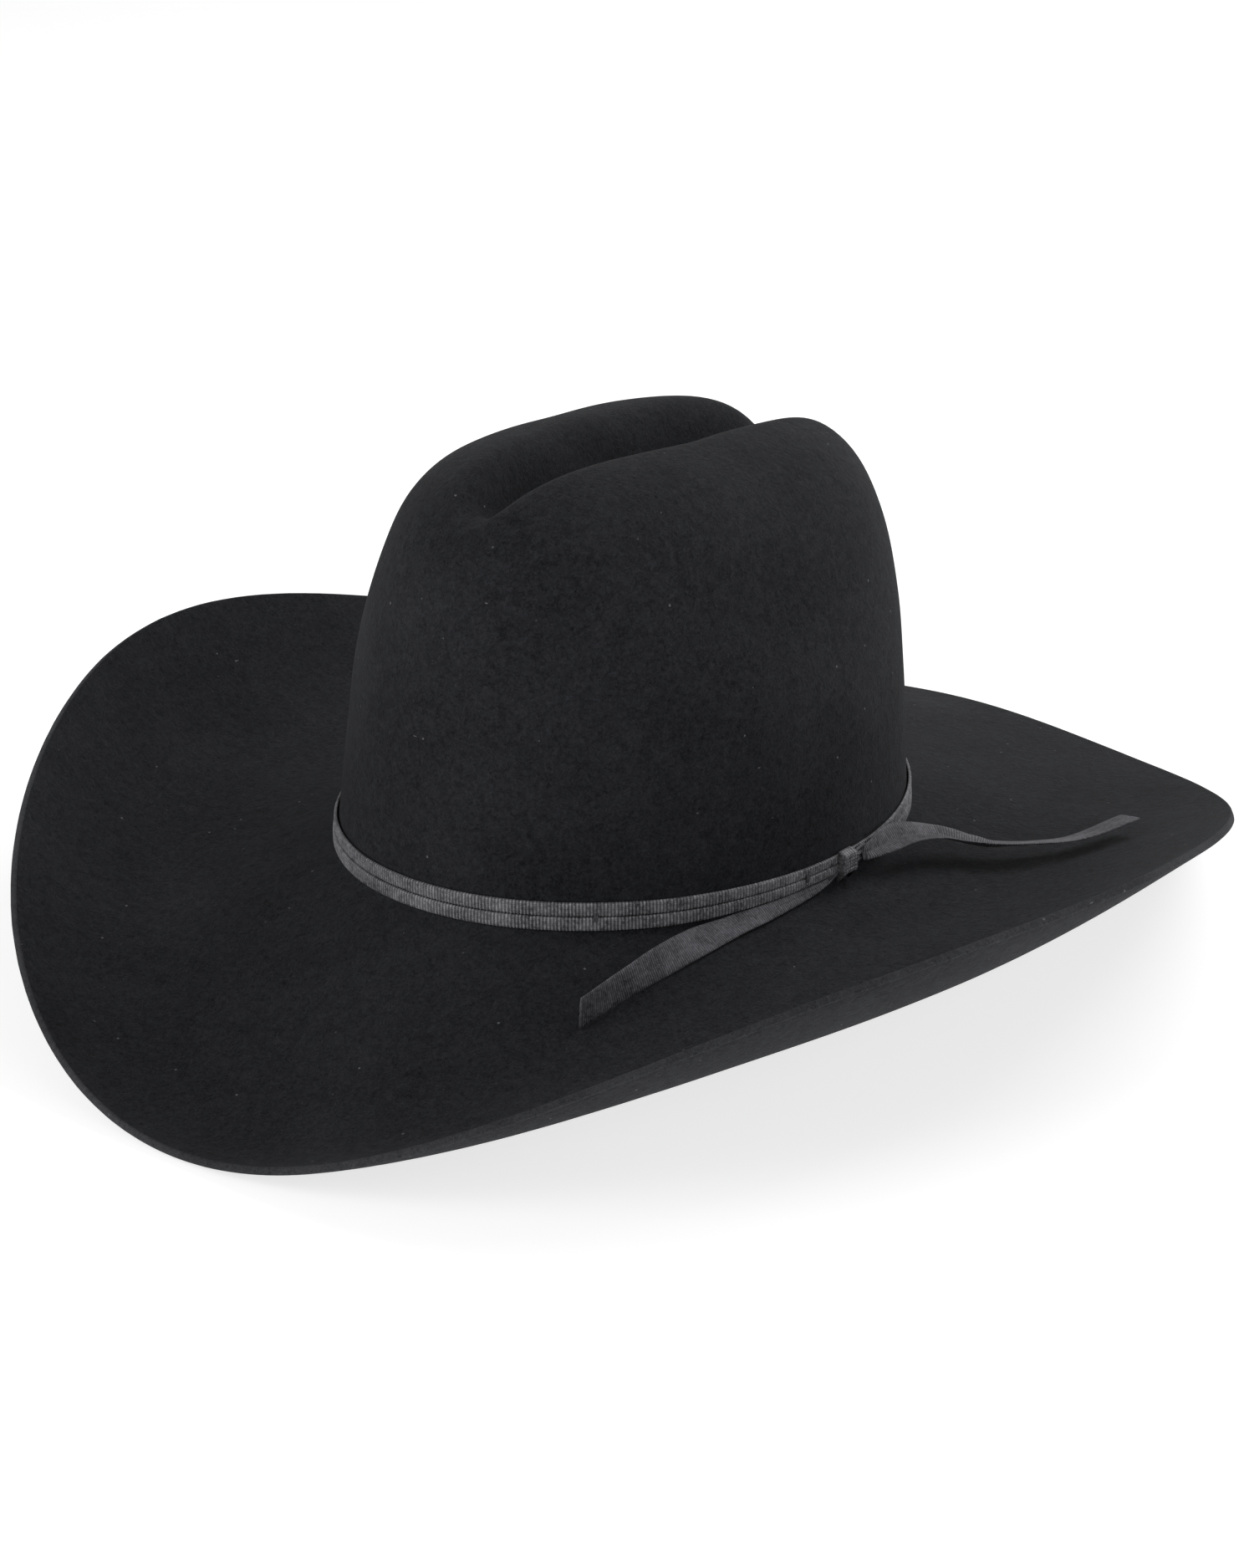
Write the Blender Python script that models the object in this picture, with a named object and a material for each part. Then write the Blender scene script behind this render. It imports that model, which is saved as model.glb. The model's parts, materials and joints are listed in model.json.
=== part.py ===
"""Felt western hat: a one-piece felt body, a two-row ribbon band with a bow, a sweatband and a lining.

Hat coordinates: the origin is the middle of the break, the oval line where the brim leaves the crown.
The front of the hat looks along -Y, the wearer's left is +X, and Z is up. Angles round the oval start
at the front and grow towards the wearer's left. The empty hat_frame tips the hat as it stands.
"""

import math

import bpy
import numpy as np

# Driving dimensions, in metres
OVAL_LENGTH = 0.204  # outside of the crown at the break, front to back
OVAL_WIDTH = 0.171
BREAK_RISE = (0.0005, 0.0008)  # the break line's rise at the front, and at front and back over the sides
FELT = 0.0024
BRIM_WIDTH = 0.108
CROWN_HEIGHT = 0.1288
CROWN_FALL = 0.045  # how much lower the crown gets for each metre towards the back
CROWN_TAPER = (0.127, 0.092)  # share of the half width, and of the half length, lost from break to top
CROWN_BACK_SHIFT = 0.0065
CROWN_SQUARENESS = (5.2, 3.4, 6.0)  # front, sides, back: 2 is a round dome, more is squarer
CREASE_DEPTH = 0.032
CREASE_HALF_WIDTH = 0.0121
CREASE_FRONT = -0.082
CREASE_RUN_IN = 0.0468
CREASE_FRONT_NARROWING = 0.6
CREASE_BACK = (0.020, 0.095)  # the crease gets shallower between these, front to back
CREASE_BACK_SHARE = 0.4  # of its depth left at the back
DENT_DEPTH = 0.006
DENT_CENTRE = (-0.025, 0.092)  # y, z
DENT_SIZE = (0.040, 0.019)
FILLET = 0.002  # where the crown turns into the brim
PAD_DEPTH = 0.001  # felt flattened where the hat stands

# The brim's edge by brim widths from the break, every 30 degrees from front to back:
# out to the side, forward, up
BRIM_EDGE = (
    (0.000, 0.969, -0.328),
    (0.505, 0.794, -0.076),
    (0.835, 0.383, 0.224),
    (0.989, -0.033, 0.288),
    (0.736, -0.641, 0.036),
    (0.279, -0.995, -0.194),
    (0.000, -0.935, -0.170),
)
# Every 60 degrees from front to back: the slope of the brim as it leaves the break, and how late it curls
BRIM_SLOPE = (-0.52, -0.24, -0.22, -0.18)
BRIM_CURL = (4.3, 3.6, 2.25, 3.6)

GAP = 0.0003  # between pieces that touch
BAND_ROW = 0.0043  # width of one row of the hatband
BAND_THICKNESS = 0.0009
BAND_FOOT = 0.0011  # from the break up to the band's lower edge
BAND_STAND_OFF = 0.0005
RIBBON_WIDTH = 0.010
RIBBON_THICKNESS = 0.0008
KEEPER_WIDTH = 0.006
KEEPER_THICKNESS = 0.0007
KEEPER_ANGLE = 90.0
PINCH_WIDTH = 0.0065
TAIL_GAP = 0.005  # from the keeper to where the front tail can lift
TAIL_CLEARANCE = 0.0012  # from the bow's ribbon to the tails, so that they can swing
# Each free ribbon end's middle line: distance outside the oval's widest place, y, height over the brim
FRONT_TAIL = (
    (0.0012, -0.022, 0.0061),
    (-0.0008, -0.046, 0.0062),
    (-0.0060, -0.080, 0.0063),
    (-0.0125, -0.112, 0.0068),
)
REAR_TAIL = (
    (0.0050, 0.0260, 0.0074),
    (0.0095, 0.0397, 0.0072),
    (0.0167, 0.0468, 0.0067),
    (0.0234, 0.0510, 0.0064),
    (0.0328, 0.0610, 0.0059),
    (0.0405, 0.0732, 0.0053),
    (0.0460, 0.0963, 0.0055),
)
# Share of the rear end's length, and the degrees that its width rises over level
REAR_TAIL_TWIST = ((0, -80), (0.12, -35), (0.3, -8), (0.55, 22), (1, 34))
FRONT_TAIL_SLANT, REAR_TAIL_SLANT = 0.004, 0.003
TACK_LENGTH = 0.003
TACK_RADIUS = 0.0004
TACK_ANGLES = {"front_left": 38.0, "left": 80.0, "right": -80.0, "back": 180.0}

SWEATBAND_HEIGHT = 0.052
SWEATBAND_THICKNESS = 0.0009
SWEATBAND_SEAM = 0.0012  # slit between the strip's ends at the back
REED_RADIUS = 0.0009
REED_HEIGHT = 0.0006  # middle of the reed over the break
BINDING_THICKNESS = 0.0005
SEAM_TAB_WIDTH = 0.014
LINING_THICKNESS = 0.0004
LINING_FOOT = 0.020
LINING_TOP = 0.080
LINING_TOP_INSET = 0.0120  # from the outside of the crown, so that creases and dents clear the lining
PIPING_RADIUS = 0.0013
TIP_SAG = 0.004
BOW_SPAN = 0.022
BOW_RIBBON = 0.005
BOW_THICKNESS = 0.0005
BOW_LOOP = 0.0045

COLUMNS = 60
CROWN_ROWS = 24
COLUMN_CROWDING = 0.15  # closer columns at the front and back, where the crease needs them


def column_angles():
    even = np.arange(COLUMNS) * 2 * math.pi / COLUMNS
    return even - COLUMN_CROWDING * np.sin(2 * even)


ANGLES = column_angles()


def smooth_step(value):
    value = np.clip(value, 0, 1)
    return value * value * (3 - 2 * value)


def through_stations(values, angles, odd=False):
    """A smooth closed curve, the same on both sides, through evenly spaced stations from front to back."""
    values = np.array(values, float)
    at = np.linspace(0, math.pi, len(values))
    wave = np.sin if odd else np.cos
    orders = np.arange(1, len(values) - 1) if odd else np.arange(len(values))
    rows = slice(1, -1) if odd else slice(None)
    weights = np.linalg.solve(wave(np.outer(at[rows], orders)), values[rows])
    return wave(np.outer(angles, orders)) @ weights


def break_line(angles):
    x = OVAL_WIDTH / 2 * np.sin(angles)
    y = -OVAL_LENGTH / 2 * np.cos(angles)
    z = BREAK_RISE[0] * np.cos(angles) + BREAK_RISE[1] * np.cos(2 * angles)
    return np.stack([x, y, z], -1)


def outward(angles):
    """Level direction straight out of the oval."""
    x = np.sin(angles) / OVAL_WIDTH
    y = -np.cos(angles) / OVAL_LENGTH
    return np.stack([x, y, 0 * x], -1) / np.hypot(x, y)[:, None]


def brim_line(angles, reach):
    """One line round the brim's top: reach 0 is the break, 1 is the edge."""
    start = break_line(angles)
    side, forward, rise = (
        BRIM_WIDTH * through_stations([station[axis] for station in BRIM_EDGE], angles, odd=axis == 0)
        for axis in range(3)
    )
    run = np.hypot(side, forward)
    dip = through_stations(BRIM_SLOPE, angles) * run
    curl = through_stations(BRIM_CURL, angles)
    height = start[:, 2] * (1 - reach) + dip * reach + (rise - dip) * reach**curl
    return np.stack([start[:, 0] + side * reach, start[:, 1] - forward * reach, height], -1)


def squareness(angles):
    front, side, back = CROWN_SQUARENESS
    ends = np.where(np.cos(angles) > 0, front, back)
    return side + (ends - side) * np.cos(angles) ** 2


def side_dent(y, z, spread):
    """How far the dents in the crown's sides press in; spread is 1 at the wall and 0 at the middle."""
    centre_y, centre_z = DENT_CENTRE
    long, tall = DENT_SIZE
    dent = np.exp(-(((y - centre_y) / long) ** 2) - ((z - centre_z) / tall) ** 2)
    return DENT_DEPTH * dent * smooth_step((spread - 0.35) / 0.4)


def wall_line(angles, height, stand_off=0.0):
    """One line round the crown's wall at a height over the break, standing off its outside."""
    share = height / CROWN_HEIGHT
    power = squareness(angles)
    spread = (1 - share**power) ** (1 / power)
    x = spread * OVAL_WIDTH / 2 * (1 - CROWN_TAPER[0] * share) * np.sin(angles)
    y = -spread * OVAL_LENGTH / 2 * (1 - CROWN_TAPER[1] * share) * np.cos(angles)
    y = y + CROWN_BACK_SHIFT * share
    z = break_line(angles)[:, 2] * (1 - share) + height
    x = x - side_dent(y, z, spread) * np.sin(angles)
    return np.stack([x, y, z], -1) + stand_off * outward(angles)


def crown_line(angles, climb):
    """One line round the crown's outside: climb 0 is the break, 1 is the middle of the top."""
    power = squareness(angles)
    across, up = math.cos(climb * math.pi / 2), math.sin(climb * math.pi / 2)
    radius = (across**power + up**power) ** (-1 / power)
    spread, share = radius * across, radius * up
    x = spread * OVAL_WIDTH / 2 * (1 - CROWN_TAPER[0] * share) * np.sin(angles)
    y = -spread * OVAL_LENGTH / 2 * (1 - CROWN_TAPER[1] * share) * np.cos(angles) + CROWN_BACK_SHIFT * share
    z = break_line(angles)[:, 2] * (1 - share) + (CROWN_HEIGHT - CROWN_FALL * y) * share
    run_in = (y - CREASE_FRONT) / CREASE_RUN_IN
    narrow = CREASE_FRONT_NARROWING
    half_width = CREASE_HALF_WIDTH * (narrow + (1 - narrow) * smooth_step(run_in / 2))
    fade = smooth_step((y - CREASE_BACK[0]) / (CREASE_BACK[1] - CREASE_BACK[0])) * (1 - CREASE_BACK_SHARE)
    valley = np.exp(-((np.abs(x) / half_width) ** 2.4)) * smooth_step(run_in) * (1 - fade)
    z = z - CREASE_DEPTH * valley * smooth_step((share - 0.5) / 0.4)
    return np.stack([x - side_dent(y, z, spread) * np.sin(angles), y, z], -1)


def felt_rows(angles):
    """The felt's upper side as lines round the hat, from the brim's edge to the top of the crown."""
    fillet_reach = FILLET / BRIM_WIDTH
    reaches = (1, 0.96, 0.9, 0.8, 0.66, 0.51, 0.36, 0.21, 0.08)
    rows = [brim_line(angles, reach) for reach in reaches]
    foot, corner, start = brim_line(angles, fillet_reach), break_line(angles), wall_line(angles, FILLET)
    for step in (0, 0.33, 0.67):
        rows.append((1 - step) ** 2 * foot + 2 * step * (1 - step) * corner + step**2 * start)
    first = math.atan(FILLET / CROWN_HEIGHT) / (math.pi / 2)
    rows += [crown_line(angles, climb) for climb in np.linspace(first, 0.97, CROWN_ROWS)]
    return np.stack(rows)


def surface_normals(rows):
    """Unit normals of a grid of lines that close round the hat."""
    around = np.roll(rows, -1, axis=1) - np.roll(rows, 1, axis=1)
    normals = np.cross(around, np.gradient(rows, axis=0))
    return normals / np.linalg.norm(normals, axis=2, keepdims=True)


def standing(under):
    """How far back the hat tips, and how high it is lifted, when the brim's front and back meet the floor."""
    points = under.reshape(-1, 3)
    front, back = points[points[:, 1] < 0], points[points[:, 1] > 0]
    low, high = -0.2, 0.2
    for _ in range(40):
        tip = (low + high) / 2
        front_low, back_low = (
            (part[:, 2] * math.cos(tip) - part[:, 1] * math.sin(tip)).min() for part in (front, back)
        )
        low, high = (tip, high) if front_low < back_low else (low, tip)
    return tip, -(front_low + PAD_DEPTH)


def flatten_pads(under, tip, lift):
    """Presses the underside flat where it would reach below the floor."""
    x, y, z = under[..., 0], under[..., 1], under[..., 2]
    floor = (y * math.sin(tip) - lift) / math.cos(tip)
    return np.stack([x, y, np.maximum(z, floor)], -1)


def material(name, colour, roughness, metallic=0.0):
    made = bpy.data.materials.new(name)
    made.use_nodes = True
    shader = made.node_tree.nodes["Principled BSDF"]
    shader.inputs["Base Color"].default_value = (*colour, 1)
    shader.inputs["Roughness"].default_value = roughness
    shader.inputs["Metallic"].default_value = metallic
    return made


def solid(name, points, faces, finish, parent, origin=(0, 0, 0)):
    mesh = bpy.data.meshes.new(name)
    mesh.from_pydata([tuple(point) for point in np.array(points) - np.array(origin)], [], faces)
    mesh.materials.append(material(name, *finish))
    mesh.shade_smooth()
    mesh.set_sharp_from_angle(angle=math.radians(40))
    mesh.validate()
    made = bpy.data.objects.new(name, mesh)
    bpy.context.scene.collection.objects.link(made)
    made.parent = parent
    made.location = origin
    return made


def grid_faces(rows, columns, closed_rows, closed_columns, start=0):
    """Quads over a grid of points; a closed direction joins its last line to its first."""
    faces = []
    for row in range(rows if closed_rows else rows - 1):
        for column in range(columns if closed_columns else columns - 1):
            here, above = row * columns, (row + 1) % rows * columns
            beside = (column + 1) % columns
            faces.append([start + i for i in (here + column, here + beside, above + beside, above + column)])
    return faces


def domed_shell(name, top, bottom, finish, parent):
    """A closed skin between two grids that share their outer edge line and end in a pole each."""
    rows, columns = top.shape[:2]
    count = rows * columns
    poles = [top[-1].mean(axis=0), bottom[-1].mean(axis=0)]
    points = [*top.reshape(-1, 3), *bottom.reshape(-1, 3), *poles]
    faces = grid_faces(rows, columns, False, True)
    faces += [face[::-1] for face in grid_faces(rows, columns, False, True, start=count)]
    last = count - columns
    for column in range(columns):
        beside = (column + 1) % columns
        faces.append([last + column, last + beside, 2 * count])
        faces.append([count + last + beside, count + last + column, 2 * count + 1])
        faces.append([beside, column, count + column, count + beside])
    return solid(name, points, faces, finish, parent)


def swept(name, centres, across, out, section, closed, finish, parent, origin=(0, 0, 0)):
    """A section carried along a line. Section points are (across, out), anticlockwise seen from the start."""
    section = np.array(section, float)
    if section.ndim == 2:
        section = np.repeat(section[None], len(centres), axis=0)
    points = centres[:, None] + section[..., :1] * across[:, None] + section[..., 1:] * out[:, None]
    rows, columns = points.shape[:2]
    faces = grid_faces(rows, columns, closed, True)
    if not closed:
        faces += [list(range(columns))[::-1], list(range((rows - 1) * columns, rows * columns))]
    first = points[0]
    turn = np.cross(first[1] - first[0], first[2] - first[1]) @ (centres[1] - centres[0])
    if turn < 0:
        faces = [face[::-1] for face in faces]
    return solid(name, points.reshape(-1, 3), faces, finish, parent, origin)


def box_section(width, thickness):
    corners = np.array([(-1, -1), (1, -1), (1, 1), (-1, 1)])
    return corners * [width / 2, thickness / 2]


def round_section(radius, sides=6):
    turns = np.arange(sides) * 2 * math.pi / sides
    return np.stack([radius * np.cos(turns), radius * np.sin(turns)], -1)


def hook_section(inner, thickness, sides=6):
    """A C that opens upwards, round a rod of the inner radius."""
    turns = np.radians(np.linspace(140, 400, sides))
    ring = np.stack([np.cos(turns), np.sin(turns)], -1)
    return np.concatenate([(inner + thickness) * ring, inner * ring[::-1]])


def unit(vectors):
    return vectors / np.linalg.norm(vectors, axis=-1, keepdims=True)


def smooth_route(points, count):
    """Points along a Catmull-Rom curve through the given ones."""
    points = np.array(points, float)
    ends = np.concatenate([[2 * points[0] - points[1]], points, [2 * points[-1] - points[-2]]])
    route = []
    for place in np.linspace(0, len(points) - 1, count):
        index = min(int(place), len(points) - 2)
        share = place - index
        a, b, c, d = ends[index : index + 4]
        bend, twist = 2 * a - 5 * b + 4 * c - d, 3 * b - a - 3 * c + d
        route.append(0.5 * (2 * b + (c - a) * share + bend * share**2 + twist * share**3))
    return np.array(route)


UP = np.array([0.0, 0.0, 1.0])
BLACK_FELT = ((0.018, 0.019, 0.022), 0.95)
BLACK_RIBBON = ((0.045, 0.046, 0.052), 0.7)
BLACK_THREAD = ((0.03, 0.03, 0.033), 0.6)
BLACK_LEATHER = ((0.022, 0.019, 0.018), 0.5)
BLACK_SATIN = ((0.03, 0.03, 0.036), 0.35)
CANE = ((0.35, 0.27, 0.16), 0.6)


def band_face(row=0):
    """Stand-off of the middle of a layer over the hatband: 0 is the band itself, 1 the ribbon on it."""
    band = BAND_STAND_OFF + BAND_THICKNESS / 2
    return band if row == 0 else band + BAND_THICKNESS / 2 + GAP + RIBBON_THICKNESS / 2


def band_height():
    return 2 * BAND_ROW + GAP


def build_felt():
    rows = felt_rows(ANGLES)
    under = rows - FELT * surface_normals(rows)
    tip, lift = standing(under)
    under = flatten_pads(under, tip, lift)
    frame = hat_frame(np.concatenate([rows, under]), tip, lift)
    domed_shell("felt_body", rows, under, BLACK_FELT, frame)
    return frame


def hat_frame(skin, tip, lift):
    """The empty that stands the hat on the floor, with its outline centred on the origin."""
    frame = bpy.data.objects.new("hat_frame", None)
    bpy.context.scene.collection.objects.link(frame)
    frame.rotation_euler.x = -tip
    along = skin[..., 1] * math.cos(tip) + skin[..., 2] * math.sin(tip)
    frame.location = (0, -(along.min() + along.max()) / 2, lift)
    bpy.context.view_layer.update()
    return frame


def build_band(frame):
    upright = np.repeat(UP[None], COLUMNS, axis=0)
    for name, foot in (("lower", BAND_FOOT), ("upper", BAND_FOOT + BAND_ROW + GAP)):
        middle = wall_line(ANGLES, foot + BAND_ROW / 2, band_face())
        section = box_section(BAND_ROW, BAND_THICKNESS)
        swept(f"hatband_{name}_row", middle, upright, outward(ANGLES), section, True, BLACK_RIBBON, frame)
    seam = BAND_FOOT + BAND_ROW + GAP / 2
    for place, degrees in TACK_ANGLES.items():
        angle = np.radians([degrees])
        centre = wall_line(angle, seam, band_face() + BAND_THICKNESS / 2 + GAP + TACK_RADIUS)
        reach = np.linspace(-0.5, 0.5, 5)[:, None] * TACK_LENGTH * UP
        plump = np.array([0.5, 1, 1, 1, 0.5])[:, None, None]
        sideways = np.repeat(np.cross(UP, outward(angle)), 5, axis=0)
        out = np.repeat(outward(angle), 5, axis=0)
        section = round_section(TACK_RADIUS)[None] * plump
        swept(f"tack_stitch_{place}", centre + reach, sideways, out, section, False, BLACK_THREAD, frame)


def keeper_section():
    """A C that holds the ribbon on the band: a plate outside it, and a lip over and under it."""
    inside = band_face(1) + RIBBON_THICKNESS / 2 + GAP
    outside = inside + KEEPER_THICKNESS
    top = BAND_FOOT + band_height() + 2 * GAP + KEEPER_THICKNESS
    foot = BAND_FOOT - 2 * GAP - KEEPER_THICKNESS / 2
    upper_lip, lower_lip = BAND_STAND_OFF, band_face() + BAND_THICKNESS / 2 + GAP
    return [
        (foot, lower_lip),
        (foot, outside),
        (top, outside),
        (top, upper_lip),
        (top - KEEPER_THICKNESS, upper_lip),
        (top - KEEPER_THICKNESS, inside),
        (foot + KEEPER_THICKNESS / 2, inside),
        (foot + KEEPER_THICKNESS / 2, lower_lip),
    ]


def degrees_along(length):
    """The angle that a length covers at the side of the oval."""
    return math.degrees(length / (OVAL_LENGTH / 2))


def build_bow(frame):
    half = degrees_along(KEEPER_WIDTH / 2)
    angles = np.radians(np.linspace(KEEPER_ANGLE - half, KEEPER_ANGLE + half, 4))
    upright = np.repeat(UP[None], len(angles), axis=0)
    foot_line = wall_line(angles, 0.0)
    swept("bow_keeper", foot_line, upright, outward(angles), keeper_section(), False, BLACK_RIBBON, frame)

    start = KEEPER_ANGLE + half + degrees_along(2 * GAP)
    angles = np.radians(np.linspace(start, start + degrees_along(PINCH_WIDTH), 5))
    centres = wall_line(angles, BAND_FOOT + band_height() / 2, band_face(1))
    upright = np.repeat(UP[None], len(angles), axis=0)
    narrowing = np.array([0.95, 0.7, 0.6, 0.7, 0.85])[:, None, None]
    section = box_section(PINCH_WIDTH, RIBBON_THICKNESS) * narrowing
    swept("bow_pinch", centres, upright, outward(angles), section, False, BLACK_RIBBON, frame)


def wall_frame_point(along, height, stand_off):
    """A point beside the wearer's left, a length back from the keeper's middle along the oval."""
    angle = np.radians([KEEPER_ANGLE + degrees_along(along)])
    return wall_line(angle, height, stand_off)[0]


def brim_height(x, y):
    """The height of the brim's top at a place, found by walking to it in angle and reach."""
    angle, reach, step = math.atan2(x, -y), 0.3, 1e-5
    for _ in range(12):
        here = brim_line(np.array([angle, angle + step]), reach)
        along_angle = (here[1] - here[0])[:2] / step
        along_reach = (brim_line(np.array([angle]), reach + step)[0] - here[0])[:2] / step
        miss = np.array([x, y]) - here[0][:2]
        angle, reach = (angle, reach) + np.linalg.solve(np.stack([along_angle, along_reach], -1), miss)
    return brim_line(np.array([angle]), reach)[0][2]


def over_brim(points):
    """Points given by the distance outside the oval's widest place, y, and the height over the brim."""
    side = OVAL_WIDTH / 2
    return [(side + out, y, brim_height(side + out, y) + height) for out, y, height in points]


def build_tails(frame):
    rest = BAND_FOOT + band_height() / 2
    over_bow = band_face(1) + RIBBON_THICKNESS + TAIL_CLEARANCE
    front_root = wall_frame_point(-(KEEPER_WIDTH / 2 + TAIL_GAP), rest, over_bow)
    front = smooth_route([front_root, *over_brim(FRONT_TAIL)], 16)
    lean = unit(np.array([[-0.12, 0, 1.0]]))
    across = np.repeat(lean, len(front), axis=0)
    ribbon("front_tail", front, across, front_root, FRONT_TAIL_SLANT, frame)

    rear_root = wall_frame_point(KEEPER_WIDTH / 2 + PINCH_WIDTH + 4 * GAP, rest, over_bow)
    rear = smooth_route([rear_root, *over_brim(REAR_TAIL)], 22)
    heading = unit(np.gradient(rear, axis=0))
    level = unit(np.cross(heading, UP))
    places, turns = zip(*REAR_TAIL_TWIST)
    rise = np.radians(np.interp(np.linspace(0, 1, len(rear)), places, turns))[:, None]
    across = np.cos(rise) * level + np.sin(rise) * UP
    ribbon("rear_tail", rear, across, rear_root, REAR_TAIL_SLANT, frame)


def ribbon(name, centres, across, origin, slant, parent):
    """A flat ribbon along a route, cut on the slant at its far end."""
    heading = unit(np.gradient(centres, axis=0))
    across = unit(across - (across * heading).sum(axis=1, keepdims=True) * heading)
    out = np.cross(heading, across)
    section = box_section(RIBBON_WIDTH, RIBBON_THICKNESS)
    made = swept(name, centres, across, out, section, False, BLACK_RIBBON, parent, tuple(origin))
    tip = [len(centres) * 4 - 4 + corner for corner in (0, 3)]
    for index in tip:
        vertex = made.data.vertices[index]
        vertex.co = [value - slant * step for value, step in zip(vertex.co, heading[-1])]
    return made


def lining_stand_off(height):
    """The lining hangs behind the sweatband, then draws in to clear the dents and the crease."""
    behind = -(FELT + GAP + LINING_THICKNESS / 2)
    start = sweatband_foot() + SWEATBAND_HEIGHT + GAP
    share = np.clip((height - start) / (LINING_TOP - start), 0, 1) ** 0.8
    return behind + (-LINING_TOP_INSET - behind) * share


def binding_radius():
    return REED_RADIUS + GAP + BINDING_THICKNESS


def sweatband_foot():
    """The sweatband stands on the bound reed, which lies inside the break."""
    return REED_HEIGHT + binding_radius() + GAP


def sweatband_heights():
    return np.linspace(sweatband_foot(), sweatband_foot() + SWEATBAND_HEIGHT, 6)


def build_sweatband(frame):
    reed_stand_off = -(FELT + GAP + binding_radius())
    foot = sweatband_foot()
    stand_off = -(FELT + 2 * GAP + LINING_THICKNESS + SWEATBAND_THICKNESS / 2)
    seam = SWEATBAND_SEAM / OVAL_WIDTH
    angles = ANGLES - math.pi
    angles = np.concatenate([[-math.pi + seam], angles[1:], [math.pi - seam]])
    rows = []
    for height in sweatband_heights():
        rows.append(wall_line(angles, height, stand_off))
    inner = [line - SWEATBAND_THICKNESS / 2 * outward(angles) for line in rows]
    outer = [line + SWEATBAND_THICKNESS / 2 * outward(angles) for line in rows]
    loops = np.stack(inner + outer[::-1], axis=1)
    ring_solid("sweatband", loops, False, BLACK_LEATHER, frame)

    centres = wall_line(angles, REED_HEIGHT, reed_stand_off)
    upright = np.repeat(UP[None], len(angles), axis=0)
    out = outward(angles)
    swept("sweatband_reed", centres, upright, out, round_section(REED_RADIUS), False, CANE, frame)
    hook = hook_section(REED_RADIUS + GAP, BINDING_THICKNESS)[:, ::-1]
    swept("reed_binding", centres, upright, out, hook, False, BLACK_LEATHER, frame)

    half = SEAM_TAB_WIDTH / OVAL_WIDTH
    angles = np.linspace(math.pi - half, math.pi + half, 7)
    tab = stand_off - SWEATBAND_THICKNESS - GAP
    heights = (foot + 2 * GAP, *sweatband_heights()[1:-1], foot + SWEATBAND_HEIGHT - 2 * GAP)
    inner = [wall_line(angles, height, tab - LINING_THICKNESS / 2) for height in heights]
    outer = [wall_line(angles, height, tab + LINING_THICKNESS / 2) for height in heights]
    ring_solid("sweatband_seam_tab", np.stack(inner + outer[::-1], axis=1), False, BLACK_LEATHER, frame)
    return tab - LINING_THICKNESS / 2 - GAP


def ring_solid(name, loops, closed, finish, parent):
    """A solid through section loops that stand one after another round the oval."""
    count, size = loops.shape[:2]
    faces = grid_faces(count, size, closed, True)
    if not closed:
        faces += [list(range(size))[::-1], list(range((count - 1) * size, count * size))]
    first = loops[0]
    turn = np.cross(first[1] - first[0], first[-1] - first[0]) @ (loops[1].mean(axis=0) - first.mean(axis=0))
    if turn < 0:
        faces = [face[::-1] for face in faces]
    return solid(name, loops.reshape(-1, 3), faces, finish, parent)


def build_lining(frame):
    bend = sweatband_foot() + SWEATBAND_HEIGHT + GAP
    behind = [height for height in sweatband_heights()[:-1] if height > LINING_FOOT]
    heights = [LINING_FOOT, *behind, *np.linspace(bend, LINING_TOP, 4)]
    half = LINING_THICKNESS / 2
    inner = [wall_line(ANGLES, height, lining_stand_off(height) - half) for height in heights]
    outer = [wall_line(ANGLES, height, lining_stand_off(height) + half) for height in heights]
    ring_solid("lining_side", np.stack(inner + outer[::-1], axis=1), True, BLACK_SATIN, frame)

    upright = np.repeat(UP[None], COLUMNS, axis=0)
    seam = LINING_TOP + GAP + PIPING_RADIUS
    centres = wall_line(ANGLES, seam, -LINING_TOP_INSET)
    section = round_section(PIPING_RADIUS)
    swept("lining_piping", centres, upright, outward(ANGLES), section, True, BLACK_SATIN, frame)

    edge = wall_line(ANGLES, seam, -LINING_TOP_INSET - PIPING_RADIUS - GAP)
    middle = edge.mean(axis=0)
    rows = []
    for share in (1, 0.75, 0.4, 0.1):
        line = middle + (edge - middle) * share
        line[:, 2] -= TIP_SAG * (1 - share**2)
        rows.append(line)
    top = np.stack(rows) + half * UP
    domed_shell("lining_tip", top, top - LINING_THICKNESS * UP, BLACK_SATIN, frame)


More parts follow.
